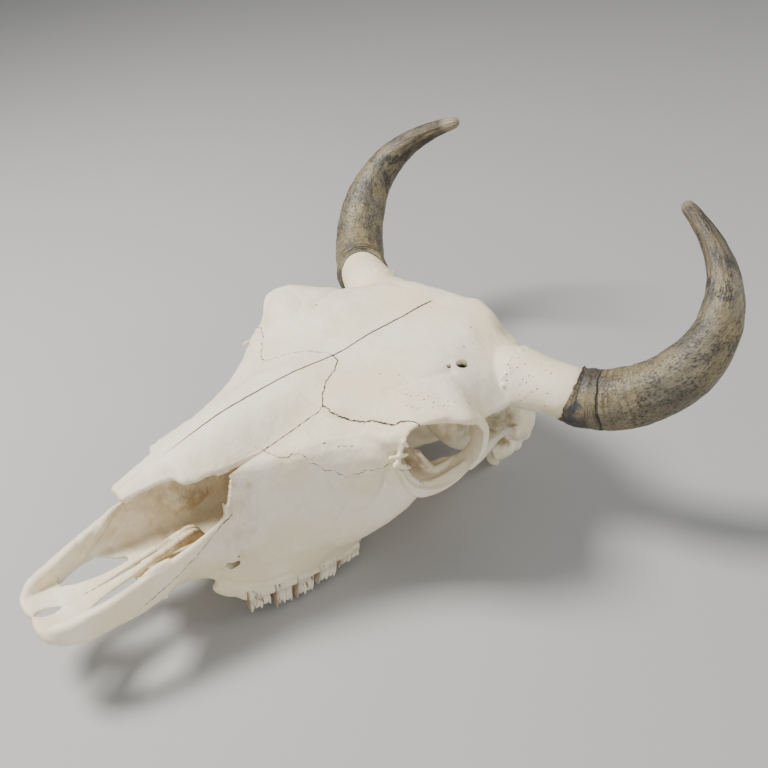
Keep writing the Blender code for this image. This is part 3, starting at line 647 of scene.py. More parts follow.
@dataclass
class EyeSocket:
    """The left eye socket: a flared bony tube and the hollow in it."""

    centre: Vector = field(default_factory=lambda: Vector((127, 309, 121)))
    facing: Vector = field(default_factory=lambda: Vector((0.949, -0.291, -0.117)).normalized())
    rim: Pairs = ((-180, 38), (-165, 36.5), (-150, 33), (-128, 33.5), (-108, 37), (-88, 41.5),
        (-68, 45), (-52, 43), (-33, 39.5), (-14, 39), (0, 39), (16, 40), (32, 43), (45, 46),
        (60, 42.5), (90, 40), (120, 41), (145, 42), (165, 39.5), (180, 38))
    mouth: Pairs = ((-180, 32), (-150, 30), (-120, 32), (-90, 34.5), (-60, 36), (-30, 35),
        (-8, 35.5), (12, 37.5), (30, 40), (46, 44), (58, 39), (70, 35.3), (96, 33), (117, 34.5),
        (136, 36), (152, 35.5), (166, 33), (180, 32))

    def axes(self) -> tuple[Vector, Vector]:
        """Forward and upward directions along the rim."""
        forward = Vector((0, -1, 0))
        forward = (forward - self.facing * forward.dot(self.facing)).normalized()
        upward = forward.cross(self.facing).normalized()
        return forward, upward if upward.z > 0 else -upward

    def tube(self, name: str, outline: Pairs, stages: Stations) -> Solid:
        """A tube on the socket's axis.

        Args:
            name: the new object's name.
            outline: (angle, reach) pairs of the full-size opening.
            stages: (out, share of the outline, radius blended in for the rest, back, up) rows.

        Returns:
            A closed tube.
        """
        forward, upward = self.axes()
        reach = Curve(outline)
        rings = []
        for out, share, radius, back, lift in stages:
            shift = upward * lift - forward * back
            ring = []
            for angle in range(-180, 180, 10):
                far = share * reach(angle) + (1 - share) * radius
                ring.append(tuple(Vector(self.point(angle, out, far)) + shift))
            rings.append(ring)
        return loft(name, rings, 2, 4)

    def point(self, angle: float, out: float, reach: float) -> Triple:
        """A point beside the axis.

        Args:
            angle: degrees up from the front.
            out: millimetres outwards along the axis.
            reach: distance from the axis.

        Returns:
            The point.
        """
        forward, upward = self.axes()
        turn = math.radians(angle)
        radial = forward * math.cos(turn) + upward * math.sin(turn)
        return tuple(self.centre + self.facing * out + radial * reach)

    def seam(self) -> list[Triple]:
        """Places along the toothed seam on the socket's lower lip."""
        reach = Curve(((-130, 31), (-114, 33), (-100, 35.5), (-75, 33.5), (-50, 33.5), (-35, 35),
            (-20, 36.5)))
        return [self.point(angle, -4.8, reach(angle)) for angle in range(-130, -15, 5)]

    def shelf(self) -> Solid:
        """The broad, dished lower lip of the socket, with an open room behind its inner edge."""
        section = ((1.5, 1.5), (-2.5, 6.5), (-6.5, 9.4), (-8.6, 8.6), (-8, 5), (-5, 0))
        edge, rings = Curve(self.rim), []
        for angle in range(-172, -2, 10):
            share = float(np.interp(angle, (-172, -145, -120, -60, -25, -5),
                                    (0.3, 0.45, 0.8, 1.25, 1.0, 0.6)))
            rings.append([self.point(angle, out, edge(angle) - share * inward)
                          for out, inward in section])
        return loft("socket_shelf", rings, 3, 3)

    def spikes(self) -> list[Solid]:
        """The tear bone's spines on the front of the rim, and the strut behind them."""
        upper = bar("upper_prong", (
            (*self.point(27, 0, 42), 2.4, 2), (*self.point(24, 0, 37), 1.8, 1.6),
            (*self.point(20, -1, 33.5), 0.9, 0.8)), sides=16)
        prong = bar("prong", (
            (*self.point(4, 0, 47), 2.2, 2), (*self.point(6, 1, 41), 2.3, 2),
            (*self.point(8, 0.5, 35), 2.1, 1.8), (*self.point(9, -1, 29.5), 1.2, 1)), sides=16)
        lower = bar("lower_prong", (
            (*self.point(-6, 0, 42), 3, 2.4), (*self.point(-10, 0, 36), 3, 2.2),
            (*self.point(-17, -2, 31), 2.8, 2), (*self.point(-27, -4, 28.5), 1.6, 1.4)), sides=16)
        strut = bar("strut", (
            (106, 289, 138, 4.5, 3), (104.5, 293, 128, 3.8, 2.4), (103, 301, 115, 3.8, 2.2),
            (101, 311, 101, 4.4, 2.4), (99, 321, 89, 6, 3.4), (97, 331, 81, 7, 5)), sides=20)
        leaf = bar("leaf", (
            (100, 312, 84, 3, 5), (108, 322, 91, 3, 4.5), (109, 335, 95, 2.6, 4),
            (112, 348, 100, 2, 4)), sides=20)
        return [upper, prong, lower, strut, leaf]

    def solid(self) -> Solid:
        """The flared rim, standing out from the side of the skull."""
        return self.tube("orbit_wall", self.rim, ((-46, 0.2, 38, -4, 2), (-24, 0.5, 40, -2, 1),
            (-8, 1, 0, 0, 0), (0, 1, 0, 0, 0), (2.6, 0.95, 0, 0, 0)))

    def hollow(self) -> Solid:
        """The room inside, narrowing inwards and to the back."""
        return self.tube("orbit_hollow", self.mouth, ((14, 1.08, 0, 0, 0), (2, 1, 0, 0, 0),
            (-14, 0.97, 0, 1, 0), (-40, 0.5, 28, 6, -1), (-66, 0, 22, 14, -6),
            (-86, 0, 12, 24, -12)))


@dataclass
class Cheek:
    """The left zygomatic arch and the jaw joint behind it."""

    wing_outline: Pairs = ((349, 128), (351, 108), (357, 93), (367, 78), (380, 66), (396, 60),
        (414, 66), (424, 84), (424, 108), (412, 128), (390, 138), (366, 138))

    def arch(self) -> Solid:
        """The slender bar from the socket's rear rim back to the jaw joint."""
        return bar("cheek_arch", (
            (126, 338, 100, 3.5, 6), (125.5, 349, 103, 3.2, 5.2), (122, 362, 106.5, 2.8, 4.2),
            (117.5, 375, 109, 2.6, 3.9), (112, 389, 107, 2.8, 4), (107.5, 401, 101.5, 3.2, 4.4),
            (104, 412, 95, 4, 6), (100, 420, 88, 5, 7)))

    def solids(self) -> list[Solid]:
        """Root under the eye, the wall in front of the socket, joint, knobs and ear tube."""
        wall = bar("socket_front", (
            (95, 267, 124, 9, 8), (97, 275, 110, 10, 8.5), (98, 282, 96, 10, 8.5),
            (101, 289, 84, 9, 8)))
        brow = bar("brow_front", (
            (84, 266, 133, 7, 7), (95, 270, 133, 8, 7.5), (106, 275, 136, 8, 8),
            (114, 279, 141, 7, 8)))
        root = bar("under_eye", (
            (68, 238, 38, 12, 20), (76, 254, 50, 13, 24), (86, 270, 64, 12, 24),
            (99, 285, 76, 10.5, 17), (110, 298, 86, 7, 8)))
        knobs = [ellipsoid("joint_rim", (95, 412, 74), (8, 7, 7)),
                 ellipsoid("ear_rim", (93, 424, 75), (8, 7, 9)),
                 ellipsoid("nape_rim", (95, 433, 84), (7, 6, 9))]
        ear = bar("ear_tube", ((66, 416, 78, 9, 9), (84, 420, 82, 8, 8), (98, 422, 84, 7, 7)))
        joint = ellipsoid("jaw_joint", (85, 400, 77), (23, 13, 11), 8)
        knob = ellipsoid("joint_knob", (74, 411, 68), (13, 6, 12), 10)
        return knobs + [wall, brow, root, ear, joint, knob]

    def hollows(self) -> list[Solid]:
        """The temple and the room under the eye socket."""
        return [ellipsoid("temple_hollow", (92, 366, 111), (30, 43, 29), -12),
                ellipsoid("temple_back", (99, 402, 113), (19, 18, 16)),
                ellipsoid("cheek_hollow", (80, 350, 68), (32, 50, 34), -14)]

    def wing(self) -> Solid:
        """The bulging side wall of the brain chamber, with a free edge behind the socket."""
        middle = np.array((390.0, 98.0))
        outline = np.array(self.wing_outline, float) - middle
        rings = []
        for x, grow in ((38, 0.93), (46, 1.0), (60, 1.0), (66, 0.94), (70, 0.8), (72.5, 0.5)):
            rings.append([(x, y, z) for y, z in (middle + outline * grow).tolist()])
        return loft("side_wall", rings, 3, 3)


@dataclass
class NoseTip:
    """The left incisive bone: its thick tip, its rising blade and its flat inner process."""

    blade_stations: Stations = (
        (9, 22, 1, 8, 8), (13, 30, -1, 11, 10), (20, 36, -3, 15.5, 11), (30, 40, -4, 18.5, 11.5),
        (44, 43, -3.5, 23.5, 11), (62, 46, 3, 30.5, 10), (84, 48, 8, 40, 9),
        (104, 50, 20, 47.5, 8), (126, 51, 42, 57.5, 7), (146, 51, 60, 68.5, 6),
        (160, 50.5, 73, 78, 4.5))
    tip_stations: Stations = (
        (8.5, 8, 19, 2, 7), (11.5, 1.0, 28, 0.5, 8), (16, 4.2, 33, 0, 8), (23, 5.2, 37, 0.5, 7.5),
        (30, 3.6, 38, 1, 7), (37, 0.5, 38, 1.5, 7), (43, 0.3, 36, 2, 7.5))
    process_stations: Stations = (
        (38, 0.4, 25, 2.5, 7.5), (46, 0.4, 20, 4.2, 8.5), (55, 0.6, 15.3, 6.2, 10),
        (63, 0.8, 12.7, 8, 11.5),
        (75, 1.2, 10.4, 10.3, 14), (85, 1.5, 9.4, 12.4, 16.5), (100, 1.5, 8.2, 16, 21),
        (115, 1.1, 7, 19, 25.5), (135, 0.9, 6.2, 22.5, 31.5), (148, 1.0, 5.6, 23, 35),
        (156, 1.2, 4.6, 20, 31), (164, 1.2, 4, 12, 18))

    def solids(self) -> list[Solid]:
        """Blade and tip."""
        blade = []
        for y, x, low, high, thick in self.blade_stations:
            middle, inner = 0.5 * (low + high), x - thick
            blade.append([(inner, y, low + 3), (x - 0.5 * thick, y, low), (x - 0.8, y, low + 2.5),
                          (x, y, middle), (x - 1, y, high - 2.5), (x - 0.5 * thick, y, high),
                          (inner, y, high - 3), (inner - 0.5, y, middle)])
        return [loft("blade", blade, 4, 5), loft("tip", self.slabs(self.tip_stations), 4, 4)]

    def slabs(self, stations: Stations) -> list[list[Triple]]:
        """Flat rounded sections.

        Args:
            stations: (y, inner x, outer x, low, high) rows.

        Returns:
            One ring per row.
        """
        rings = []
        for y, near, far, low, high in stations:
            middle = 0.5 * (near + far)
            rings.append([(near, y, 0.6 * low + 0.4 * high), (middle, y, low), (far, y, low + 1),
                          (far + 0.8, y, 0.5 * (low + high)), (far, y, high - 1),
                          (middle, y, high), (near, y, high - 0.8)])
        return rings

    def process(self) -> Solid:
        """The flat inner process, which rises backwards beside its twin."""
        return loft("process", self.slabs(self.process_stations), 4, 5)

    def slot(self) -> Solid:
        """The left palatine fissure, a long slot through the roof of the mouth."""
        return bar("palate_slot", (
            (22.5, 44, 8, 1.5, 16), (24, 60, 8, 8, 16), (24, 75, 9, 9, 16), (21, 88, 9, 8, 16),
            (19, 99, 10, 2.5, 16)))

    def inner_roll(self) -> Solid:
        """The rounded rear edge of the thick blade, on the inner side of the nose."""
        return bar("inner_roll", (
            (39, 62, 9, 3, 3), (39.5, 68, 15, 4, 4.5), (40, 76, 24, 4.3, 5), (41, 86, 34, 4.2, 5),
            (43, 97, 43.5, 3.6, 4), (45, 109, 49, 2.4, 2.5)), sides=20)

    def palate_front(self) -> Solid:
        """The front edge of the palate's shelf, between the fissure and the side wall."""
        return bar("palate_front", (
            (40, 76, 10, 2.5, 2), (36.5, 86, 11, 5.5, 2.4), (33, 95, 11.5, 9.5, 2.8),
            (32, 106, 12, 11, 3)), sides=20)


@dataclass(frozen=True)
class Ripple:
    """Waves over a horn: how high and long they are, and how they are stretched on its grain."""

    height: float
    length: float
    stretch: Triple
    layers: int = 6

    def over(self, grain: np.ndarray, seed: int) -> np.ndarray:
        """The waves' height at each place on the grain."""
        return self.height * waves(grain * self.stretch, self.length, seed, self.layers)


@dataclass
class Horn:
    """The left horn: a bony core and the horny sheath that grows over it."""

    route: Route = ((148, 425, 151), (190, 452, 139), (290, 495, 223), (157, 538, 290))
    radii: Sequence[float] = (24.6, 25.4, 23.2, 16.3, 6.0)
    bend: Triple = (-8, -4, 2)
    bend_start: float = 0.78
    socket_reach: float = 0.1
    socket_clearance: float = 0.7
    foot: float = -0.08
    foot_flare: float = 22
    steps: int = 150
    sides: int = 96
    blunt_tip: Pairs = ((2, 0.93), (3.6, 0.8), (5, 0.62), (6.2, 0.38), (6.9, 0.16))
    grain_radius: float = 25
    base_reach: float = 55
    ripples: tuple[Ripple, ...] = (
        Ripple(0.34, 4.6, (0.12, 0.12, 1)), Ripple(0.5, 14, (0.2, 0.2, 1)),
        Ripple(0.16, 7, (1, 1, 0.06), 8), Ripple(2, 6, (1, 1, 0.35), 8))
    flake_height: float = 0.2
    crack_at: float = 27.6
    crack_stray: Ripple = Ripple(1.2, 22, (1, 1, 0))
    crack_depth: float = 0.9
    crack_width: float = 1.1
    frayed_rings: int = 8

    def centre(self, t: float) -> Vector:
        """Follow the middle line of the horn.

        Args:
            t: from 0 at the ring to 1 near the tip.

        Returns:
            The middle of the horn there.
        """
        a, b, c, d = [Vector(point) for point in self.route]
        s = 1 - t
        hook = max(0.0, (t - self.bend_start) / (1 - self.bend_start)) ** 3
        even = a * s ** 3 + b * (3 * s * s * t) + c * (3 * s * t * t) + d * t ** 3
        return even + Vector(self.bend) * hook

    def radius(self, t: float) -> float:
        """Radius of the sheath at t."""
        even = np.interp(t, np.linspace(0, 1, len(self.radii)), self.radii)
        return float(even) + max(0.0, -self.foot_flare * t)

    def core(self, extra: float = 0.0) -> Solid:
        """The bony core, from the forehead into the sheath.

        Args:
            extra: millimetres that it is thicker by, as a cutter.

        Returns:
            A closed bar.
        """
        rows = [(70, 402, 150, 20), (98, 408, 150, 25), (118, 414, 150.5, 24),
                (134, 419.5, 151, 23)]
        for t in (0.0, 0.5 * self.socket_reach, self.socket_reach):
            rows.append((*self.centre(t), 22.4 - 26 * t))
        return bar("horn_core", [(x, y, z, r + extra, r + extra) for x, y, z, r in rows],
                   sides=56, along=6)

    def sheath(self, side: Side) -> Solid:
        """The ringed, flaking horn, solid until main cuts the core out of its base, with its
        surface frame stored.

        Args:
            side: which horn; each has its own grain.

        Returns:
            The level sheath, with point attributes for its grain and its length.
        """
        ts = np.linspace(self.foot if side is Side.RIGHT else 0, 1, self.steps)
        points = [tuple(self.centre(float(t))) for t in ts]
        sizes = [self.radius(float(t)) for t in ts]
        along = (Vector(points[-1]) - Vector(points[-2])).normalized()
        for reach, share in self.blunt_tip:
            points.append(tuple(self.centre(1) + along * reach))
            sizes.append(self.radius(1) * share)
        stations = [(*point, size, size) for point, size in zip(points, sizes)]
        rings = bar_rings(stations, (0, 0, 1), self.sides, 1)
        middle = rings.mean(1, keepdims=True)
        count = len(points)
        runs = np.linalg.norm(np.diff(middle[:, 0], axis=0), axis=1)
        length = np.concatenate([[0], np.cumsum(runs)])
        base = np.exp(-length / self.base_reach)[:, None]
        round_x, round_y = self.round_grain()
        grain = np.stack(np.broadcast_arrays(round_x[None], round_y[None], length[:, None]), -1)
        flat = grain.reshape(-1, 3)
        seed = 5 if side is Side.LEFT else 9
        ringing, broad, ridges, flakes = [ripple.over(flat, seed + k).reshape(count, -1)
                                          for k, ripple in enumerate(self.ripples)]
        swell = ringing * base + broad * base + ridges + self.flake_height * np.tanh(flakes)
        crack = self.crack_at + self.crack_stray.over(flat, seed + 7).reshape(count, -1)
        swell -= self.crack_depth * falloff(length[:, None] - crack, self.crack_width)
        thickness = np.maximum(np.array(sizes), 3)[:, None, None]
        rings = middle + (rings - middle) * (1 + swell[..., None] / thickness)
        rings = self.frayed(rings, middle, seed)
        piece = skin("horn_sheath", rings)
        store(piece, "grain", "FLOAT_VECTOR", "vector", flat * MM)
        return piece

    def round_grain(self) -> tuple[np.ndarray, np.ndarray]:
        """Where each point of a ring lies across the grain."""
        angle = np.linspace(0, 2 * math.pi, self.sides, endpoint=False)
        return self.grain_radius * np.cos(angle), self.grain_radius * np.sin(angle)

    def frayed(self, rings: np.ndarray, middle: np.ndarray, seed: int) -> np.ndarray:
        """Draw the first few rings back by uneven amounts, for a ragged lower edge.

        Args:
            rings: the sheath's rings.
            middle: the rings' centres.
            seed: picks the pattern.

        Returns:
            The rings with a ragged edge.
        """
        around = np.stack([*self.round_grain(), np.zeros(self.sides)], 1)
        ragged = 1.6 * waves(around, 30, seed + 5) + 0.9 * waves(around, 7, seed + 6)
        along = middle[1, 0] - middle[0, 0]
        along /= np.linalg.norm(along)
        for k in range(self.frayed_rings):
            rings[k] += along * (ragged * (1 - k / self.frayed_rings))[:, None]
        return rings


@dataclass
class Teeth:
    """The left cheek teeth, from the second premolar to the last molar."""

    face: Face
    spans: Pairs = ((168.5, 189.8), (192, 209), (212, 230), (233.5, 253), (256, 278))
    lengths: Sequence[float] = (12, 16, 15.5, 13.5, 10)
    fading: Sequence[float] = (0, 0, 0, 0.1, 0.55)
    widths: Sequence[float] = (14, 17, 20, 21, 17)
    spurs: Route = ((0.08, 0.08, 1.0), (0.3, 0.15, 0.5), (0.51, 0.07, 0.8), (0.73, 0.14, 0.45),
        (0.92, 0.07, 0.9))
    flare: float = 0.12
    stations: int = 44
    lean_at: Triple = (180, 205, 270)
    leans: Triple = (-0.05, 0.1, 0.42)

    def lean(self, y: float | np.ndarray) -> float | np.ndarray:
        """How far a crown at y leans forward for each millimetre down."""
        return np.interp(y, self.lean_at, self.leans)

    def tooth(self, number: int) -> Solid:
        """One ribbed crown with sharp spurs along its outer edge, rooted in the gum line.

        Args:
            number: which tooth, counted from the front.

        Returns:
            A closed crown.
        """
        (front, back), length, wide = self.spans[number], self.lengths[number], self.widths[number]
        middle = 0.5 * (front + back)
        outer, gum = self.face.gum_line_x(middle) + 0.4, self.face.gum_line_z(middle) + 2
        lean = float(self.lean(middle))
        chance = np.random.default_rng(40 + number)
        heights = [high * chance.uniform(0.75, 1.1) for _, _, high in self.spurs]
        rings = []
        for k in range(self.stations + 1):
            u = k / self.stations
            bumps = [math.exp(-((u - at) / width) ** 2) for at, width, _ in self.spurs]
            rise = max(bump * height for bump, height in zip(bumps, heights))
            rib = 1.5 * max(bumps[0], bumps[2], bumps[4]) + 0.7 * max(bumps[1], bumps[3])
            tip = length * (0.7 + 0.3 * rise) * (1 - self.fading[number] * u)
            inner = length * (0.62 + 0.2 * abs(math.sin(2 * math.pi * u)))
            end = abs(2 * u - 1) ** 8
            x = outer - 1.6 * end + rib
            profile = (
                (outer - 1, -7), (x - 0.4, 0.5), (x + 0.5, 0.5 * tip), (x + 0.1, 0.84 * tip),
                (x - 0.9, tip), (x - 2.4, 0.86 * tip), (outer - 0.33 * wide, 0.5 * length),
                (outer - 0.5 * wide, 0.7 * length), (outer - 0.7 * wide, 0.5 * length),
                (outer - (0.92 - 0.3 * end) * wide, inner),
                (outer - (1 - 0.4 * end) * wide, 0.4 * length),
                (outer - (1 - 0.5 * end) * wide, -7))
            ring = []
            for px, depth in profile:
                hang = max(depth, 0)
                ring.append((px + self.flare * hang, front + (back - front) * u - lean * hang,
                             gum - depth))
            rings.append(ring)
        return loft("tooth", rings, 3, 1)

    def build(self) -> Solid:
        """The whole row as one object of separate closed crowns, with painted shade in brown
        between them and along the gum line.
        """
        row = join("teeth", [self.tooth(number) for number in range(len(self.spans))])
        points = vertex_array(row.data)
        depth = 2 - points[:, 2] + np.array([self.face.gum_line_z(y) for y in points[:, 1]])
        level = points[:, 1] + self.lean(points[:, 1]) * np.maximum(depth, 0)
        colour = np.zeros((len(points), 4), np.float32)
        # Painted shade: brown at each crown's ends, where the crowns meet, and in a band where
        # they leave the gum.
        for end in np.ravel(self.spans):
            colour[:, BROWN] += 0.9 * np.exp(-((level - end) / 1.3) ** 2)
        colour[:, BROWN] += 0.45 * np.exp(-((depth - 1) / 2.2) ** 2)
        store_marks_and_shade(row, colour)
        return row

    def sockets(self) -> list[Solid]:
        """The swollen, empty socket in front of the row, and the bony gum over the crowns."""
        gum = [(self.face.gum_line_x(y) - 9, y, self.face.gum_line_z(y) + 3, wide, 5)
               for y, wide in ((168, 9), (190, 9.5), (215, 10), (245, 10.5), (270, 9))]
        ledge = bar("tooth_ledge", (
            (43, 147.5, 6, 4.5, 5.5), (44.5, 152, 2, 5.5, 7.5), (46, 160, -2, 6.5, 8.5),
            (47, 172, -4.5, 7.5, 9), (49, 188, -5, 8, 8.5)))
        return [ledge, bar("gum", gum, sides=20)]


# ---- parting the bones ------------------------------------------------------------------------
SEAM_REACH = 0.62
SEAM_CHUNK = 4000
SEAM_STEP = 0.5


@dataclass(frozen=True)
class Block:
    """A straight-sided block whose outline holds (a, b, waviness of the run from there)."""

    axis: str
    outline: tuple[Triple, ...]
    low: float
    high: float
    seed: int = 0
    grain: float = 2.4

    def wave(self, s: float) -> float:
        """How far a suture strays from its line at s along it, for a waviness of 1."""
        return (drift(s / (2.6 * self.grain), 3.7 * self.seed, 0.5, 1.3)
                + drift(s / self.grain, 1.3 * self.seed, 7.5, 0.9))

    def border(self, grow: float, shift: int = 0, only_wavy: bool = False) -> np.ndarray:
        """The outline, pushed out by grow, with its wavy runs drawn finely.

        Args:
            grow: millimetres outwards.
            shift: added to the seed, so that the two sides of the skull differ.
            only_wavy: keep just the points on wavy runs.

        Returns:
            An array of points by 2.
        """
        block = replace(self, seed=self.seed + shift)
        points = [Vector(point[:2]) for point in self.outline]
        area = sum(a.x * b.y - b.x * a.y for a, b in zip(points, points[1:] + points[:1]))
        turn = 1 if area > 0 else -1
        corners = []
        for before, here, after in zip(points[-1:] + points[:-1], points, points[1:] + points[:1]):
            first, second = (here - before).normalized(), (after - here).normalized()
            out_first = Vector((first.y, -first.x)) * turn
            out_second = Vector((second.y, -second.x)) * turn
            corner = (out_first + out_second).normalized()
            corners.append(here + corner * (grow / max(0.35, corner.dot(out_first))))
        row, s = [], 0.0
        for i, (start, end) in enumerate(zip(corners, corners[1:] + corners[:1])):
            waviness = self.outline[i][2]
            length = (points[(i + 1) % len(points)] - points[i]).length
            if not waviness:
                if not only_wavy:
                    row.append(start)
                s += length
                continue
            out = Vector((end.y - start.y, start.x - end.x)).normalized()
            steps = max(2, int(length / SEAM_STEP))
            for k in range(steps):
                u = k / steps
                ease = min(1.0, 4 * u * length / 6, 4 * (1 - u) * length / 6)
                stray = waviness * ease * block.wave(s + u * length)
                row.append(start.lerp(end, u) + out * stray)
            s += length
        return np.array([tuple(point) for point in row])

    def solid(self, grow: float, side: Side) -> Solid:
        """The block as a closed object on one side of the skull.

        Args:
            grow: millimetres outwards.
            side: which side of the skull.

        Returns:
            A closed block.
        """
        border = self.border(grow, 0 if side is Side.LEFT else 17)
        caps = []
        for depth in (self.low - grow, self.high + grow):
            column = np.full((len(border), 1), depth)
            caps.append(np.hstack([column, border] if self.axis == "X" else [border, column]))
        block = skin("block", np.stack(caps))
        if side is Side.RIGHT:
            flip(block)
        return block

    def nearness(self, points: np.ndarray, side: Side, grow: float) -> np.ndarray:
        """How near each point is to the block's wavy runs, from 0 to 1 on them.

        Args:
            points: positions on the bone.
            side: which side of the skull.
            grow: millimetres that the border is pushed outwards.

        Returns:
            One share per point.
        """
        line = self.border(grow, 0 if side is Side.LEFT else 17, True)
        if not len(line):
            return np.zeros(len(points))
        flipped = points * (side.value, 1, 1)
        if self.axis == "X":
            flat, depth = flipped[:, 1:], flipped[:, 0]
        else:
            flat, depth = flipped[:, :2], flipped[:, 2]
        inside = (depth > self.low - 1) & (depth < self.high + 1)
        near = np.full(len(points), np.inf)
        index = np.flatnonzero(inside)
        for start in range(0, len(index), SEAM_CHUNK):
            some = index[start:start + SEAM_CHUNK]
            near[some] = ((flat[some, None, :] - line[None]) ** 2).sum(-1).min(1)
        return np.exp(-near / SEAM_REACH ** 2)


def box(low: Pair, high: Pair) -> tuple[Triple, ...]:
    """The outline of an upright box between two corners, with straight runs."""
    (a, b), (c, d) = low, high
    return (a, b, 0), (a, d, 0), (c, d, 0), (c, b, 0)


# Outlines of the bones: seen from above, or from the left as (y, z), and how wavy each run is.
FRONTAL_FRONT = (
    (0, 289, 0.5), (9.5, 287, 0.6), (19.5, 278, 0.7), (28.5, 262, 0.7), (37, 254, 0.6),
    (46, 248, 1.0), (61, 253.7, 1.1), (70.5, 259.7, 1.0), (82.6, 268.5, 0.9), (88, 271.5, 0.8),
    (94, 274.6, 0.7), (101, 277.6, 0.5), (108.5, 279.5, 0.4), (119, 281, 0.4), (126, 283.5, 0.3))
FRONTAL_BACK = ((175, 296, 0), (175, 480, 0), (-5, 480, 0), (-5, 289, 0))
NASAL_SIDE = (
    (46, 248, 0.35), (44, 230, 0.3), (42.2, 208, 0.2), (41.7, 196, 0), (40.5, 180, 0),
    (40, 166, 0), (62, 140, 0), (62, 60, 0), (-5, 60, 0), (-5, 289, 0))
LACRIMAL = (
    (190, 121, 0.8), (194.2, 119, 1.0), (202.5, 115.6, 1.4), (216.5, 119, 1.6),
    (220.5, 112.9, 1.7), (233.9, 106, 1.7), (243.5, 99.6, 1.7), (254.8, 108.5, 1.2),
    (266.4, 114, 0.9), (273, 114.5, 0.5), (283, 108, 0.3), (300, 97, 0), (300, 220, 0),
    (186, 220, 0))
CHEEKBONE = (
    (247.7, 99, 0), (245, 77, 0.8), (237, 50, 0.8), (230, 34, 0), (252, 40, 0), (276, 52, 0),
    (296, 62, 0), (380, 62, 0), (380, 125, 0), (300, 125, 0))
NOSE_BLADE = (
    (-40, -60, 0), (-40, 86, 0), (150, 86, 0), (160, 82, 0), (160.5, 76, 0.3),
    (148.2, 64.8, 0.4), (130.1, 50, 0.4), (108.9, 34, 0.4), (99.1, 27.6, 0.4), (82.4, 16.6, 0),
    (76, 11, 0), (74, -60, 0))
SIDE_WALL = (
    (365, -80, 0), (365, 122, 0.6), (398, 130, 0.6), (420, 147, 0.6), (427, 168, 0),
    (428, 260, 0), (560, 260, 0), (560, -80, 0))
NAPE = ((431, 260, 0), (431, 66, 0), (419, 50, 0), (419, -80, 0), (560, -80, 0), (560, 260, 0))
TEMPLE = ((360, -80, 0), (360, 116, 0.5), (440, 116, 0), (440, -80, 0))
TERRITORIES: dict[str, tuple[Block, ...]] = {
    "premaxilla": (Block("X", NOSE_BLADE, 0, 90, 1),
                   Block("X", box((20, 10.5), (149, 60)), 0, 10)),
    "frontal": (Block("Z", FRONTAL_FRONT + FRONTAL_BACK, 113, 260, 2),
                Block("X", box((289, 62), (480, 150)), -5, 66)),
    "nasal": (Block("Z", FRONTAL_FRONT[:5] + NASAL_SIDE, 82, 260, 2),),
    "lacrimal": (Block("X", LACRIMAL, 20, 200, 4, 1.5),),
    "zygomatic": (Block("X", CHEEKBONE, 60, 200, 5),),
    "palatine": (Block("X", box((262, -40), (420, 66)), -5, 38, 6),),
}
CRANIUM = (Block("X", SIDE_WALL, -90, 90, 7), Block("X", box((365, -80), (560, 112)), -170, 170))
OCCIPITAL = (Block("X", NAPE, -180, 180),)
TEMPORAL = (Block("X", TEMPLE, 64, 180, 8),)


@dataclass(frozen=True)
class Suture:
    """How wide and how dark one bone's border is on the left side and on the right side."""

    gap: Pair
    tone: Pair

    def on(self, side: Side) -> Pair:
        """The gap and the tone on one side."""
        right = side is Side.RIGHT
        return self.gap[right], self.tone[right]


SUTURES = {
    "premaxilla": Suture((0.12, 0.08), (0.75, 0.2)),
    "frontal": Suture((0.3, 0.16), (0.95, 0.75)),
    "nasal": Suture((0.3, 0.16), (0.8, 0.5)),
    "lacrimal": Suture((0.16, 0.1), (0.68, 0.3)),
    "zygomatic": Suture((0.1, 0.08), (0.5, 0.3)),
    "palatine": Suture((0.12, 0.12), (0.4, 0.4)),
    "cranium": Suture((0.15, 0.15), (0.3, 0.3)),
}


def territory(blocks: Sequence[Block], grow: float, side: Side) -> Solid:
    """The union of a territory's blocks, as one closed object.

    Args:
        blocks: the territory's blocks.
        grow: millimetres outwards.
        side: which side of the skull.

    Returns:
        A closed cutter.
    """
    first = blocks[0].solid(grow, side)
    for block in blocks[1:]:
        cut(first, block.solid(grow, side), "UNION")
    return first


def midline(side: Side) -> Solid:
    """One half of space, bounded by the winding seam down the middle of the skull.

    Args:
        side: which half.

    Returns:
        A closed cutter.
    """
    half_gap = Curve(((-40, 0.2), (84, 0.2), (286, 0.25), (294, 0.45), (360, 0.42), (378, 0.3),
        (390, 0.12), (396, 0.02), (560, 0.02)))
    sway = Curve(((-40, 0.1), (84, 0.2), (280, 0.35), (300, 0.5), (355, 0.6), (368, 1.6),
        (386, 1.6), (396, 0.2), (560, 0.1)))
    row = []
    for k in range(601):
        y = -40 + k
        stray = drift(y / 7.5, 0.3, 0.7) + drift(y / 2.6, 4.3, 0.7, 0.7)
        row.append((sway(y) * stray + side.value * half_gap(y), y))
    row += [(side.value * 300, 560), (side.value * 300, -40)]
    border = np.array(row)
    caps = [np.hstack([border, np.full((len(border), 1), z)]) for z in (-90.0, 260.0)]
    return skin("midline", np.stack(caps))


def largest_body(item: Solid) -> None:
    """Keep only the largest loose body of an object.

    Args:
        item: the object that is changed.
    """
    mesh = item.data
    parent = np.arange(len(mesh.vertices))
    edges = np.empty(len(mesh.edges) * 2, np.int32)
    mesh.edges.foreach_get("vertices", edges)
    a, b = edges.reshape(-1, 2).T
    while True:
        low = np.minimum(parent[a], parent[b])
        lower = parent.copy()
        np.minimum.at(lower, a, low)
        np.minimum.at(lower, b, low)
        lower = lower[lower]
        if (lower == parent).all():
            break
        parent = lower
    labels, counts = np.unique(parent, return_counts=True)
    if len(labels) == 1:
        return
    work = bmesh.new()
    work.from_mesh(mesh)
    work.verts.ensure_lookup_table()
    keep = labels[counts.argmax()]
    loose = [work.verts[i] for i in np.flatnonzero(parent != keep)]
    bmesh.ops.delete(work, geom=loose, context="VERTS")
    work.to_mesh(mesh)
    work.free()


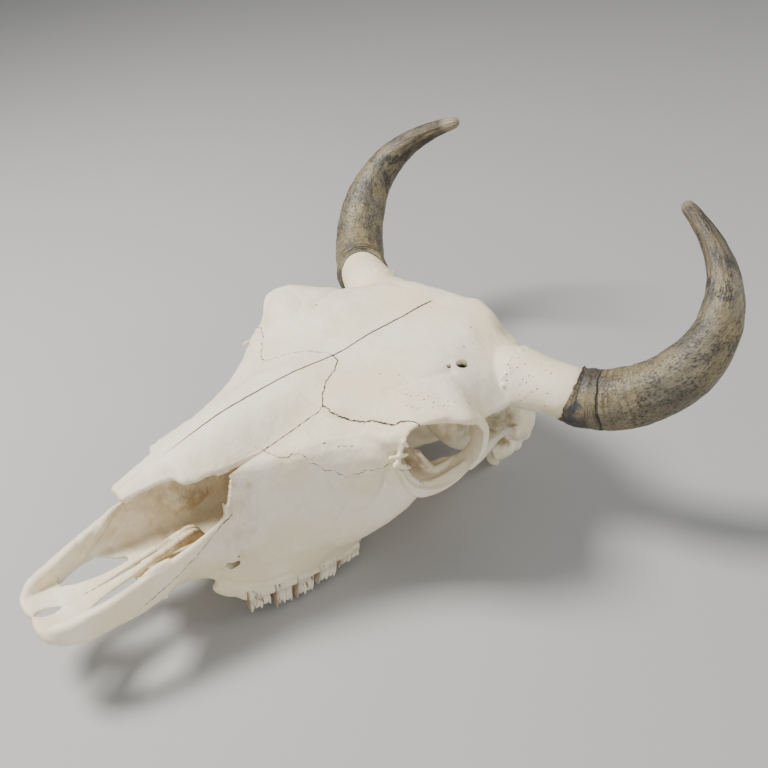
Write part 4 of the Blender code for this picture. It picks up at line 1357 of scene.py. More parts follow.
def part_off(rest: Solid, name: str, blocks: Sequence[Block], gap: float, side: Side) -> Solid:
    """Take the bone inside a territory off the rest, with a suture's gap between them.

    Args:
        rest: the object that the bone comes off.
        name: the bone's name.
        blocks: the bone's territory.
        gap: the suture's width in millimetres.
        side: which side of the skull.

    Returns:
        The bone.
    """
    bone = add_object(name, rest.data.copy())
    cut(bone, territory(blocks, 0.0, side), "INTERSECT")
    cut(rest, territory(blocks, gap, side))
    largest_body(bone)
    return bone


@dataclass(frozen=True)
class Spot:
    """A soft-edged round spot of colour in the level skull's space, used for stains and for
    painted shade deep in holes.
    """

    centre: Triple
    radius: float
    strength: float

    def amount(self, points: np.ndarray) -> np.ndarray:
        """The stain's strength at each point."""
        gaps = np.linalg.norm(points - np.array(self.centre, float), axis=1)
        return self.strength * falloff(gaps, self.radius)


# Channels of the stored colour: seams, dark marks and painted shade; brown; green.
SEAM_AND_SHADE, BROWN, GREEN = 0, 1, 2
# Brown and green stains, and dark spots of painted shade deep in holes.
STAINS_AND_SHADE = {
    BROWN: (Spot((72, 372, 94), 17, 1.0), Spot((70, 360, 110), 24, 0.35),
            Spot((92, 304, 104), 18, 0.95), Spot((84, 320, 92), 22, 0.5),
            Spot((96, 420, 76), 12, 0.5), Spot((42, 165, 60), 26, 0.5),
            Spot((41, 150, 96), 20, 0.5), Spot((45, 172, 96), 12, 0.8),
            Spot((7, 124, 26), 13, 0.35), Spot((6, 148, 33), 10, 0.3),
            Spot((20, 140, 15), 16, 0.9), Spot((0, 180, 20), 40, 0.6),
            Spot((0, 424, 84), 22, 1.1), Spot((47, 165, 29), 7, 1.2),
            Spot((103, 262, 127), 3, 0.4), Spot((56, 150, 26), 6, 0.45),
            Spot((140, 421, 140), 20, 0.45)),
    GREEN: (Spot((94, 404, 112), 22, 0.9), Spot((80, 392, 108), 26, 0.6),
            Spot((90, 400, 82), 20, 0.8), Spot((146, 428, 128), 14, 0.8),
            Spot((118, 414, 132), 18, 0.3)),
    # Painted shade deep in the foramen magnum, the face canal and the two brow holes.
    SEAM_AND_SHADE: (Spot((0, 416, 84), 16, 0.8), Spot((44.5, 170, 28), 5, 0.8),
           Spot((79, 362, 155), 9, 1.6), Spot((81, 348, 161), 5, 1.4)),
}


@dataclass(frozen=True)
class Dent:
    """A soft furrow, or a swelling where depth is negative, along a row of points."""

    points: tuple[Triple, ...]
    reach: float
    depth: float

    def push(self, places: np.ndarray) -> np.ndarray:
        """How far each place sinks, in millimetres.

        Args:
            places: positions in millimetres.

        Returns:
            One depth per place.
        """
        rows = np.array(self.points, float)
        if len(rows) == 1:
            nearest = np.linalg.norm(places - rows[0], axis=1)
        else:
            runs = zip(rows[:-1], rows[1:])
            nearest = np.minimum.reduce([gap_to_run(places, start, end) for start, end in runs])
        return self.depth * falloff(nearest, self.reach)


@dataclass(frozen=True)
class Shove:
    """A soft sideways shift of everything near a place."""

    centre: Triple
    reach: float
    shift: Triple

    def move(self, places: np.ndarray) -> np.ndarray:
        """How far each place is moved, in millimetres."""
        gaps = np.linalg.norm(places - np.array(self.centre, float), axis=1)
        return falloff(gaps, self.reach)[:, None] * np.array(self.shift, float)


@dataclass(frozen=True)
class Hole:
    """A small blind hole that runs from a place on the bone along a heading."""

    place: Triple
    heading: Triple
    radii: Pair
    depth: float

    def cutter(self) -> Solid:
        """A closed cutter for the hole."""
        heading, (a, b) = Vector(self.heading).normalized(), self.radii
        stops = ((-2 - 0.5 * self.depth, 1.1), (0, 1), (0.6 * self.depth, 0.75), (self.depth, 0.3))
        stations = [(*(Vector(self.place) + heading * reach), share * a, share * b)
                    for reach, share in stops]
        return bar("hole", stations, up=(0, 1, 0.02), sides=14, along=1)


# Furrows and swellings of the whole surface; a row of one point is a round one.
DENTS = (
    Dent(((90, 343, 169), (89, 328, 170), (86, 317, 168), (79, 306, 164), (74, 293, 158)),
         4.2, 1.9),
    Dent(((84, 352, 169),), 6, -0.8),
    Dent(((-74, 318, 170), (-78, 331, 172), (-86, 348, 170), (-92, 362, 166)), 4.5, 2.2),
    Dent(((-70, 300, 163), (-66, 290, 158)), 4, 1.0),
    Dent(((-22, 398, 185),), 15, -1.8),
    Dent(((13, 408, 187),), 12, -1.4),
    Dent(((42, 398, 184), (60, 384, 178)), 12, -1.2),
    Dent(((28, 372, 180), (30, 350, 176)), 12, 0.9),
    Dent(((-40, 372, 178), (-44, 350, 176)), 14, 0.9),
    Dent(((60, 262, 140), (78, 270, 142)), 9, 0.8),
    Dent(((96, 250, 122), (106, 262, 122)), 6, -1.2),
    Dent(((62, 205, 70), (72, 222, 70)), 14, 1.2),
    Dent(((60, 178, 20), (64, 200, 26), (70, 224, 34)), 7, -1.2),
    Dent(((50, 150, 12), (55, 161, 6), (59, 172, 3), (62.5, 188, 1), (65, 206, 3)), 2.2, 3.0),
    Dent(((-104, 304, 162), (-116, 322, 162), (-104, 350, 160)), 22, -6),
    Dent(((-30, 428, 180), (-58, 426, 174)), 20, 7),
    Dent(((26, 426, 184), (42, 424, 182)), 11, -5),
    Dent(((70, 424, 174),), 11, 4),
)
# The right socket's front corner stands further in and back than the left one's.
SHOVES = (Shove((-121, 278, 150), 18, (11, 9, -2)),)
# Vessel holes of the left side: a shared heading, then (x, y, z, radii, reach of a painted shade
# dot in the hole, 0 for none) rows.
VESSEL_HOLES = {
    (-0.1, 0.2, -0.95): ((57.4, 391.5, 181, 0.9, 1.2, 1.0), (71.4, 372.4, 174, 1.0, 1.1, 1.0),
                         (72.8, 382.1, 175, 0.7, 0.9, 0.9)),
    (-0.1, 0.3, -0.95): ((52.9, 299.2, 162, 0.8, 1.3, 1.0), (67.6, 307.3, 165.4, 0.7, 0.9, 0.9),
                         (79.2, 306.6, 164.6, 0.9, 1.4, 1.2)),
    (-0.6, 0.2, -0.8): ((69.8, 233.8, 126.8, 0.6, 1.5, 0), (79.1, 241.7, 126.3, 0.6, 1.4, 0),
                        (82.8, 245.5, 126.8, 0.6, 1.0, 0), (86.2, 249.2, 127.5, 0.6, 1.2, 0)),
    (-0.9, 0.3, -0.2): ((54, 163.4, 34.7, 0.9, 1.2, 0),),
    (-0.95, 0.2, 0): ((84.5, 237.8, 57, 0.6, 1.2, 0), (81.5, 225.7, 46, 0.6, 1.2, 0)),
}
VESSEL_DEPTH = 3
HOLES = (
    Hole((84.3, 359.5, 167), (-0.45, 0.25, -0.86), (4.4, 6.4), 20),
    Hole((83.8, 345.8, 169.5), (-0.45, 0.3, -0.84), (2.1, 2.5), 12),
    Hole((-74.5, 320, 170), (0.1, 0.4, -0.9), (1.5, 1.9), 6),
) + tuple(Hole(row[:3], heading, row[3:5], VESSEL_DEPTH)
          for heading, rows in VESSEL_HOLES.items() for row in rows)
# Dark lines and dots of the left side: the depth is how dark, and nothing sinks. The line in the
# brow furrow and the line above the tooth ledge are painted shade in those creases, and the dots
# are painted shade in the vessel holes.
MARKS = (
    Dent(((69.8, 233.8, 126.8), (72.5, 236, 126.6)), 0.8, 0.9),
    Dent(((79.1, 241.7, 126.3), (86.2, 249.2, 127.5)), 0.8, 0.9),
    # Painted shade along the bottom of the brow furrow.
    Dent(((75, 295, 159.8), (85, 313, 167), (89, 330, 170)), 0.9, 0.45),
    Dent(((84, 237.8, 57), (81, 225.7, 46), (76, 220, 33), (73, 219, 26)), 0.8, 0.7),
    Dent(((100, 298, 160), (110, 303, 162), (122, 313, 162), (126, 325, 160), (124, 336, 157)),
         3.5, 0.5),
    Dent(((94, 290, 157), (108, 291, 160), (118, 299, 162)), 2.5, 0.5),
    Dent(((102, 405, 172), (106, 409, 163), (108, 413, 150), (108, 412, 136)), 3.0, 0.45),
    # Painted shadow in the crease along the top of the tooth ledge.
    Dent(((51, 152, 10), (55.5, 161, 6), (59.5, 172, 3), (62.5, 188, 1.5)), 1.4, 0.55),
# Painted shade dots in the vessel holes.
) + tuple(Dent((tuple(place),), reach, 1) for rows in VESSEL_HOLES.values()
          for *place, _, _, reach in rows if reach)


@dataclass(frozen=True)
class Crumbs:
    """The finest detail: crumbly rings on the horn cores, toothed seams and scattered pores."""

    core_start: Vector = field(default_factory=lambda: Vector((100, 408.6, 150.2)))
    core_axis: Vector = field(default_factory=lambda: Vector((0.93, 0.35, 0.03)).normalized())
    core_radius: float = 25.0
    core_taper: float = 0.02
    ring_turns: range = range(-100, 170, 9)
    ring_reach: Pair = (-1.5, 4.5)
    ring_sizes: Pair = (1.6, 2.6)
    seam_tooth: float = 1.7
    height: float = 1.3
    tries: int = 150
    apart: float = 3
    core_share: float = 0.6
    near_ring: Pair = (-2, 5)
    beyond_ring: Pair = (5, 40)
    pore_turns: Pair = (-40, 130)
    pore_sizes: Pair = (0.35, 0.8)
    pore_depth: float = 2.4
    brow_stops: Route = ((0, 0.45, 1), (97, 114, 124.5), (292, 305, 336), (158.5, 162.5, 157))
    brow_heading: Triple = (-0.2, 0.3, -0.93)

    def on_core(self, reach: float, turn: float, radius: float) -> tuple[Vector, Vector]:
        """A place on the left horn core and the outward direction there.

        Args:
            reach: millimetres along the core from its foot.
            turn: degrees round it from the top, towards the front.
            radius: the core's radius there.

        Returns:
            The place and the direction.
        """
        front = Vector((self.core_axis.y, -self.core_axis.x, 0)).normalized()
        angle = math.radians(turn)
        outward = front * math.sin(angle) + front.cross(self.core_axis) * math.cos(angle)
        return self.core_start + self.core_axis * reach + outward * radius, outward

    def bumps(self, seam: Route) -> tuple[Dent, ...]:
        """Crumbs round the foot of each horn core and teeth along each socket's seam.

        Args:
            seam: places along the left socket's seam.

        Returns:
            Small swellings on both sides.
        """
        chance = np.random.default_rng(12)
        found = []
        for x, y, z in seam:
            for side in Side:
                place = (side.value * x, y + chance.uniform(-0.6, 0.6), z)
                found.append(Dent((place,), self.seam_tooth, -self.height))
        for turn in self.ring_turns:
            for side in Side:
                reach, stray = chance.uniform(*self.ring_reach), chance.uniform(-3, 3)
                place, _ = self.on_core(reach, turn + stray, self.core_radius)
                spot = (side.value * place.x, place.y, place.z)
                found.append(Dent((spot,), chance.uniform(*self.ring_sizes), -self.height))
        return tuple(found)

    def pores(self) -> list[Hole]:
        """Fine pores on the horn core and along the socket's upper rim, none close together."""
        chance = np.random.default_rng(27)
        holes: list[Hole] = []
        for _ in range(self.tries):
            if chance.random() < self.core_share:
                near = chance.random() < 0.5
                reach = chance.uniform(*(self.near_ring if near else self.beyond_ring))
                radius = self.core_radius - self.core_taper * reach
                place, outward = self.on_core(reach, chance.uniform(*self.pore_turns), radius)
                heading = -outward
            else:
                share = chance.uniform(0, 1)
                stops, *rows = self.brow_stops
                x, y, z = [float(np.interp(share, stops, row)) for row in rows]
                place = Vector((x + chance.uniform(-16, 6), y + chance.uniform(-9, 9), z))
                heading = Vector(self.brow_heading)
            if all((place - Vector(hole.place)).length > self.apart for hole in holes):
                size = chance.uniform(*self.pore_sizes)
                radii = (size, size * chance.uniform(1, 1.5))
                holes.append(Hole(tuple(place), tuple(heading), radii, self.pore_depth))
        return holes


@dataclass
class Skull:
    """All the bones: melted together, carved, weathered and parted along their sutures."""

    face: Face = field(default_factory=Face)
    socket: EyeSocket = field(default_factory=EyeSocket)
    horn: Horn = field(default_factory=Horn)
    crumbs: Crumbs = field(default_factory=Crumbs)
    mass_grid: float = 1.15 * VOXEL
    hollow_grid: float = 1.3 * VOXEL
    # (height, length, seed, layers) of each set of waves that weathers the surface
    weathering: Sequence[tuple[float, float, int, int]] = ((0.45, 46, 1, 6), (0.2, 17, 2, 9),
                                                           (0.07, 6, 3, 12))
    midline_reach: float = 0.9
    nose_brown: float = 0.45

    def mass(self) -> Solid:
        """Every bone melted into one body, with its hollows cut out."""
        forehead, braincase, cheek, tip = Forehead(self.face), Braincase(), Cheek(), NoseTip()
        left = [self.socket.solid(), self.horn.core()] + cheek.solids() + braincase.left_solids()
        left += tip.solids() + Teeth(self.face).sockets()
        middle = self.face.solids() + forehead.solids() + braincase.solids()
        mass = join("bone_mass", middle + on_both_sides(left))
        fuse(mass, self.mass_grid, 4)
        paired = on_both_sides([self.socket.hollow(), tip.slot()] + cheek.hollows())
        hollows = join("hollows", [self.face.cavity()] + braincase.hollows() + paired)
        fuse(hollows, self.hollow_grid, 2)
        cut(mass, hollows)
        thin = [tip.process(), tip.inner_roll(), tip.palate_front(), self.face.canal_wall(),
            self.socket.shelf(), cheek.wing(), cheek.arch()] + self.socket.spikes()
        mass = join("bone_mass", [mass, self.face.nasal_plates()] + on_both_sides(thin))
        fuse(mass, VOXEL, 2)
        return mass

    def weather(self, mass: Solid) -> None:
        """Push the surface in and out by soft waves, so that no face of it is a plain curve.

        Args:
            mass: the melted bones, which are changed.
        """
        points, normals = vertex_array(mass.data), normal_array(mass.data)
        push = sum(height * waves(points, *rest) for height, *rest in self.weathering)
        for dent in DENTS + self.crumbs.bumps(self.socket.seam()):
            push = push - dent.push(points)
        points = points + normals * push[:, None]
        set_vertices(mass.data, points + sum(shove.move(points) for shove in SHOVES))

    def bones(self) -> dict[str, Solid]:
        """Every bone as its own level object, by its node's name."""
        mass = self.mass()
        LOG.info("bone mass: %d faces", len(mass.data.polygons))
        self.weather(mass)
        for cutter in (self.face.slit(), self.face.jaw_edge(), self.face.canal()):
            cut(mass, join("cutters", on_both_sides([cutter])))
        cut(mass, join("holes", [hole.cutter() for hole in HOLES]))
        cut(mass, join("pores", [hole.cutter() for hole in self.crumbs.pores()]))
        gap = SUTURES["cranium"].gap[0]
        found = {"braincase": part_off(mass, "braincase", CRANIUM, gap, Side.LEFT)}
        found["occipital"] = part_off(found["braincase"], "occipital", OCCIPITAL, gap, Side.LEFT)
        for side in Side:
            name = "temporal_" + side.word
            found[name] = part_off(found["braincase"], name, TEMPORAL, gap, side)
        for side in Side:
            half = add_object("half", mass.data.copy())
            cut(half, midline(side), "INTERSECT")
            for word, blocks in TERRITORIES.items():
                name = word + "_" + side.word
                found[name] = part_off(half, name, blocks, SUTURES[word].on(side)[0], side)
            found["maxilla_" + side.word] = half
        drop(mass)
        for bone in found.values():
            largest_body(bone)
        return found

    def inside_nose(self, points: np.ndarray, normals: np.ndarray) -> np.ndarray:
        """1 for each point on a wall of the nasal cavity, else 0.

        Args:
            points: positions on a bone.
            normals: the outward directions there.

        Returns:
            One number per point.
        """
        to_axis = np.stack([-points[:, 0], np.zeros(len(points)), 58 - points[:, 2]], 1)
        facing = (normals * to_axis).sum(1) > 0
        x, y, z = points.T
        within = (y > 62) & (y < 268) & (abs(x) < 58) & (z > 6)
        return (facing & within).astype(float)

    def stain(self, bone: Solid, side: Side) -> None:
        """Store how much each vertex is darkened by a seam, a dark mark or painted shade, and how
        brown or green it is.

        Args:
            bone: the level bone, which gets the colours.
            side: which side it is on.
        """
        points, normals = vertex_array(bone.data), normal_array(bone.data)
        colour = np.zeros((len(points), 4), np.float32)
        colour[:, 3] = 1
        inside = self.inside_nose(points, normals)
        broken = 0.84 + 0.16 * np.tanh(2.5 * waves(points, 5, 31, 8))
        for word, blocks in {**TERRITORIES, "cranium": CRANIUM + OCCIPITAL + TEMPORAL}.items():
            gap, tone = SUTURES[word].on(side)
            for block in blocks:
                near = block.nearness(points, side, 0.5 * gap)
                near = near * tone * broken * (1 - inside)
                colour[:, SEAM_AND_SHADE] = np.maximum(colour[:, SEAM_AND_SHADE], near)
        open_run = np.interp(points[:, 1], (90, 170, 392, 400), (0, 1, 1, 0))
        middle = falloff(points[:, 0], self.midline_reach) * open_run
        colour[:, SEAM_AND_SHADE] = np.maximum(colour[:, SEAM_AND_SHADE], middle * (1 - inside))
        flipped = points * (side.value, 1, 1)
        dotted = np.clip(0.5 + 1.2 * waves(points, 3.2, 33, 8), 0, 1)
        marks = MARKS + (Dent(tuple(self.socket.seam()), 1.5, 0.75),)
        for mark in marks if side is Side.LEFT else ():
            colour[:, SEAM_AND_SHADE] = np.maximum(colour[:, SEAM_AND_SHADE], mark.push(points) * dotted)
        for channel, spots in STAINS_AND_SHADE.items():
            for spot in spots:
                colour[:, channel] += spot.amount(flipped)
        # Walls inside the nose are browned, from nothing at z = 16 mm to full at z = 26 mm.
        colour[:, BROWN] += self.nose_brown * inside * np.clip((points[:, 2] - 16) / 10, 0, 1)
        store_marks_and_shade(bone, colour)


# ---- finishes ---------------------------------------------------------------------------------
class Signal:
    """A value inside a material, which can be added, multiplied and ramped."""

    def __init__(self, tree: bpy.types.NodeTree, socket: Socket) -> None:
        """Keep the node tree and the output that the value comes from."""
        self.tree, self.socket = tree, socket

    def maths(self, operation: str, other: "Signal | float") -> "Signal":
        """This value and another one, put through a maths node.

        Args:
            operation: the maths node's operation.
            other: the second value.

        Returns:
            The result.
        """
        node = self.tree.nodes.new("ShaderNodeMath")
        node.operation = operation
        self.tree.links.new(self.socket, node.inputs[0])
        if isinstance(other, Signal):
            self.tree.links.new(other.socket, node.inputs[1])
        else:
            node.inputs[1].default_value = other
        return Signal(self.tree, node.outputs["Value"])

    def __add__(self, other: "Signal | float") -> "Signal":
        """The sum with another value."""
        return self.maths("ADD", other)

    def __sub__(self, other: "Signal | float") -> "Signal":
        """What is left when another value is taken off."""
        return self.maths("SUBTRACT", other)

    def __mul__(self, other: "Signal | float") -> "Signal":
        """The product with another value."""
        return self.maths("MULTIPLY", other)

    def ramp(self, low: float, high: float, start: float = 0.0, end: float = 1.0) -> "Signal":
        """Map the range from low to high smoothly onto start to end.

        Args:
            low: the value that becomes start.
            high: the value that becomes end.
            start: the result at low.
            end: the result at high.

        Returns:
            The ramped value.
        """
        node = self.tree.nodes.new("ShaderNodeMapRange")
        node.interpolation_type = "SMOOTHSTEP"
        for name, value in (("From Min", low), ("From Max", high),
                            ("To Min", start), ("To Max", end)):
            node.inputs[name].default_value = value
        self.tree.links.new(self.socket, node.inputs["Value"])
        return Signal(self.tree, node.outputs["Result"])


@dataclass(frozen=True)
class Noise:
    """The size, detail and stretch of one noise texture."""

    scale: float
    detail: float = 3.0
    roughness: float = 0.55
    stretch: Triple | None = None


class Recipe:
    """A new material, built up from an undercoat by layers of colour."""

    def __init__(self, name: str, undercoat: Triple) -> None:
        """Start a Principled material with one colour.

        Args:
            name: the material's name.
            undercoat: its first colour.
        """
        self.material = bpy.data.materials.new(name)
        self.material.use_nodes = True
        self.tree = self.material.node_tree
        self.shader = self.tree.nodes["Principled BSDF"]
        self.colour: Triple | Socket = undercoat

    def place(self) -> Socket:
        """The object's own coordinates."""
        return self.tree.nodes.new("ShaderNodeTexCoord").outputs["Object"]

    def attribute(self, name: str, key: str) -> Socket:
        """A stored attribute, as a colour or a vector."""
        node = self.tree.nodes.new("ShaderNodeAttribute")
        node.attribute_name = name
        return node.outputs[key]

    def split(self, kind: str, source: Socket) -> list[Signal]:
        """The three parts of a colour or a vector."""
        node = self.tree.nodes.new(kind)
        self.tree.links.new(source, node.inputs[0])
        return [Signal(self.tree, outlet) for outlet in node.outputs[:3]]

    def wear(self) -> list[Signal]:
        """How dark, brown and green the surface is marked: seams, dark marks, stains and painted
        shade.
        """
        return self.split("ShaderNodeSeparateColor", self.attribute("wear", "Color"))

    def texture(self, kind: str, vector: Socket, scale: float, outlet: str) -> Signal:
        """A texture node's value.

        Args:
            kind: the node's type.
            vector: the coordinates.
            scale: the texture's scale.
            outlet: the output that is wanted.

        Returns:
            The value.
        """
        node = self.tree.nodes.new(kind)
        node.inputs["Scale"].default_value = scale
        self.tree.links.new(vector, node.inputs["Vector"])
        return Signal(self.tree, node.outputs[outlet])

    def noise(self, vector: Socket, noise: Noise) -> Signal:
        """A noise texture's value, along stretched axes where the noise has a stretch.

        Args:
            vector: the coordinates.
            noise: the noise's settings.

        Returns:
            The value.
        """
        if noise.stretch:
            mapping = self.tree.nodes.new("ShaderNodeMapping")
            mapping.inputs["Scale"].default_value = noise.stretch
            self.tree.links.new(vector, mapping.inputs["Vector"])
            vector = mapping.outputs["Vector"]
        value = self.texture("ShaderNodeTexNoise", vector, noise.scale, "Fac")
        value.socket.node.inputs["Detail"].default_value = noise.detail
        value.socket.node.inputs["Roughness"].default_value = noise.roughness
        return value

    def lay(self, share: Signal, tone: Triple) -> None:
        """Blend a tone over the colour by a share.

        Args:
            share: how much of the tone shows.
            tone: the colour that is laid over.
        """
        node = self.tree.nodes.new("ShaderNodeMix")
        node.data_type = "RGBA"
        self.tree.links.new(share.socket, node.inputs["Factor"])
        under, over = [inlet for inlet in node.inputs if inlet.type == "RGBA"]
        over.default_value = (*tone, 1)
        if isinstance(self.colour, tuple):
            under.default_value = (*self.colour, 1)
        else:
            self.tree.links.new(self.colour, under)
        self.colour = [outlet for outlet in node.outputs if outlet.type == "RGBA"][0]

    def done(self, roughness: Signal | float, rise: Signal | None = None,
            depth: float = 0.0) -> bpy.types.Material:
        """Join the colour, gloss and relief to the shader.

        Args:
            roughness: the shader's roughness.
            rise: a height in the range 0 to 1, or none for a flat surface.
            depth: how many metres the height raises the surface.

        Returns:
            The finished material.
        """
        self.tree.links.new(self.colour, self.shader.inputs["Base Color"])
        if isinstance(roughness, Signal):
            self.tree.links.new(roughness.socket, self.shader.inputs["Roughness"])
        else:
            self.shader.inputs["Roughness"].default_value = roughness
        if rise:
            bump = self.tree.nodes.new("ShaderNodeBump")
            bump.inputs["Strength"].default_value = 1.0
            bump.inputs["Distance"].default_value = depth
            self.tree.links.new(rise.socket, bump.inputs["Height"])
            self.tree.links.new(bump.outputs["Normal"], self.shader.inputs["Normal"])
        return self.material


@dataclass(frozen=True)
class BoneFinish:
    """Dry, sun-bleached bone with dark sutures, pores, a few old stains and painted shade in its
    holes and creases.
    """

    name: str = "weathered_bone"
    chalk: Triple = (0.89, 0.825, 0.665)
    ivory: Triple = (0.83, 0.72, 0.50)
    honey: Triple = (0.76, 0.60, 0.34)
    seam: Triple = (0.075, 0.05, 0.028)
    brown: Triple = (0.40, 0.27, 0.125)
    green: Triple = (0.36, 0.31, 0.17)
    cloud: Noise = Noise(16, 5)
    glow: Noise = Noise(27, 4, 0.6)
    mottle: Noise = Noise(130, 5, 0.7)
    blotches: Noise = Noise(75, 6, 0.7)
    pore_fields: Noise = Noise(60, 2)
    pore_scale: float = 300
    swell: Noise = Noise(150, 5, 0.7)
    fine: Noise = Noise(420, 4)
    grit: Noise = Noise(1500, 2)
    roughness: Pair = (0.48, 0.68)
    relief: float = 0.0008

    def make(self) -> bpy.types.Material:
        """Build the material."""
        bone = Recipe(self.name, self.chalk)
        place, (dark, brown, green) = bone.place(), bone.wear()
        bone.lay(bone.noise(place, self.cloud).ramp(0.35, 0.62), self.ivory)
        bone.lay(bone.noise(place, self.glow).ramp(0.56, 0.8, 0.0, 0.35), self.honey)
        bone.lay(bone.noise(place, self.mottle).ramp(0.55, 0.8, 0.0, 0.22), self.brown)
        blotch = bone.noise(place, self.blotches).ramp(0.3, 0.72)
        bone.lay(brown * blotch, self.brown)
        bone.lay(green * blotch, self.green)
        pores = bone.texture("ShaderNodeTexVoronoi", place, self.pore_scale, "Distance")
        pores = pores.ramp(0.0, 0.13, 1.0, 0.0)
        pitted = pores * bone.noise(place, self.pore_fields).ramp(0.52, 0.66)
        bone.lay(pitted * 0.55, self.seam)
        # The stored dark channel holds the sutures and dark marks, and also painted shade in
        # holes, the brow furrow and the crease above the tooth ledge. Here crack stands for all of
        # these.
        crack = (dark + bone.noise(place, self.grit) * 0.5).ramp(0.62, 0.95)
        bone.lay(crack, self.seam)
        fine = bone.noise(place, self.fine)
        rise = fine * 0.35 + bone.noise(place, self.swell) * 0.6 - crack * 0.8 - pitted
        return bone.done(fine.ramp(0.3, 0.7, *self.roughness), rise, self.relief)


@dataclass(frozen=True)
class SheathFinish:
    """Straw-grey horn with fine dark flecks, rings near its base and a browner, pale-ended tip."""

    name: str = "weathered_horn"
    straw: Triple = (0.265, 0.215, 0.115)
    ash: Triple = (0.13, 0.115, 0.08)
    black: Triple = (0.016, 0.015, 0.016)
    slate: Triple = (0.04, 0.043, 0.058)
    umber: Triple = (0.07, 0.048, 0.027)
    cream: Triple = (0.40, 0.33, 0.225)
    flecks: Noise = Noise(560, 5, 0.65, (1, 1, 0.75))
    fibres: Noise = Noise(620, 3, 0.6, (1, 1, 0.2))
    rings: Noise = Noise(330, 4, 0.6, (0.1, 0.1, 1))
    patches: Noise = Noise(52, 5, 0.65, (1, 1, 0.8))
    soft: Noise = Noise(30, 3, 0.5)
    slates: Noise = Noise(80, 5, 0.6)
    wander: Noise = Noise(90, 3)
    roughness: Pair = (0.36, 0.62)
    relief: float = 0.0008
    length: float = 0.2584
    crack_at: float = 0.0276

    def make(self) -> bpy.types.Material:
        """Build the material."""
        horn = Recipe(self.name, self.straw)
        grain = horn.attribute("grain", "Vector")
        along = horn.split("ShaderNodeSeparateXYZ", grain)[2]
        flecks, fibres, rings, patches = [
            horn.noise(grain, noise)
            for noise in (self.flecks, self.fibres, self.rings, self.patches)]
        near_base = along.ramp(0.02, 0.09, 1.0, 0.0)
        mid_length = along.ramp(0.38 * self.length, 0.7 * self.length).ramp(0.0, 1.0, 0.35, 0.95)
        near_tip = along.ramp(0.6 * self.length, 0.85 * self.length)
        end = along.ramp(0.955 * self.length, self.length)
        horn.lay(horn.noise(grain, self.soft).ramp(0.35, 0.65), self.ash)
        horn.lay(near_tip * 0.55, self.umber)
        horn.lay(fibres.ramp(0.48, 0.66) * 0.45, self.umber)
        horn.lay(flecks.ramp(0.49, 0.6) * patches.ramp(0.38, 0.58, 0.35, 1.0) * 0.9, self.black)
        stained = patches.ramp(0.48, 0.58) * mid_length * flecks.ramp(0.36, 0.52, 0.3, 0.95)
        horn.lay(stained, self.black)
        horn.lay(rings.ramp(0.48, 0.6) * near_base * 0.85, self.umber)
        slate = horn.noise(grain, self.slates).ramp(0.52, 0.58)
        slate = slate * along.ramp(0.008, 0.026, 1.0, 0.0)
        horn.lay(slate * 0.9, self.slate)
        stray = (horn.noise(grain, self.wander) - 0.5) * 0.006
        beside = (along + stray - self.crack_at).maths("ABSOLUTE", 0.0)
        crack = beside.ramp(0.0004, 0.0013, 1.0, 0.0)
        horn.lay(crack * 0.85, self.black)
        horn.lay(end * 0.6, self.cream)
        rise = rings * along.ramp(0.04, 0.13, 0.9, 0.1) + flecks * 0.6 - crack
        return horn.done(flecks.ramp(0.3, 0.7, *self.roughness), rise, self.relief)


@dataclass(frozen=True)
class ToothFinish:
    """Old tooth: cream enamel with brown streaks, and painted shade in brown between the crowns
    and at the gum.
    """

    name: str = "old_enamel"
    cream: Triple = (0.80, 0.73, 0.57)
    brown: Triple = (0.20, 0.125, 0.055)
    streaks: Noise = Noise(260, 4, stretch=(1, 1, 0.25))
    blotches: Noise = Noise(110, 3)
    roughness: Pair = (0.3, 0.5)
    relief: float = 0.0003

    def make(self) -> bpy.types.Material:
        """Build the material."""
        tooth = Recipe(self.name, self.cream)
        place = tooth.place()
        streaks, blotches = tooth.noise(place, self.streaks), tooth.noise(place, self.blotches)
        streaked = streaks.ramp(0.48, 0.68) * blotches.ramp(0.4, 0.6)
        # The stored brown here is painted shade between the crowns and at the gum line.
        tooth.lay(streaked.maths("MAXIMUM", tooth.wear()[BROWN] * 0.85), self.brown)
        return tooth.done(streaks.ramp(0.3, 0.7, *self.roughness), streaks, self.relief)


@dataclass(frozen=True)
class FloorFinish:
    """Plain pale paint, very slightly clouded."""

    name: str = "pale_floor"
    tone: Triple = (0.40, 0.40, 0.395)
    cloud: Noise = Noise(3, 2)
    cloud_depth: float = 0.97
    roughness: float = 0.7

    def make(self) -> bpy.types.Material:
        """Build the material."""
        paint = Recipe(self.name, self.tone)
        clouded = tuple(self.cloud_depth * part for part in self.tone)
        paint.lay(paint.noise(paint.place(), self.cloud), clouded)
        return paint.done(self.roughness)


# ---- dressing and staging ---------------------------------------------------------------------
def at_rest() -> Matrix:
    """The move that tips the level skull nose-up and sets it on its feet."""
    return Matrix.Translation(REST_SHIFT * MM) @ Matrix.Rotation(-REST_TILT, 4, "X")


def dress(piece: Solid, name: str, finish: bpy.types.Material,
        nodes: Sequence[str]) -> None:
    """Tip a level piece to rest and tie it to the frame.

    Args:
        piece: the level object.
        name: its final name.
        finish: its material.
        nodes: the CAD nodes that it stands for.
    """
    piece.name = name
    piece.data.name = name
    piece.data.transform(at_rest())
    points = vertex_array(piece.data)
    points[:, 2] = np.maximum(points[:, 2], 0)
    set_vertices(piece.data, points)
    piece.data.materials.clear()
    piece.data.materials.append(finish)
    piece.data.polygons.foreach_set("use_smooth", [True] * len(piece.data.polygons))
    piece.data.set_sharp_from_angle(angle=SHARP_ANGLE)
    piece.data.update()
    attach(piece, "root")
    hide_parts(*nodes)
    LOG.info("%s: %d faces for %s", name, len(piece.data.polygons), ", ".join(nodes))


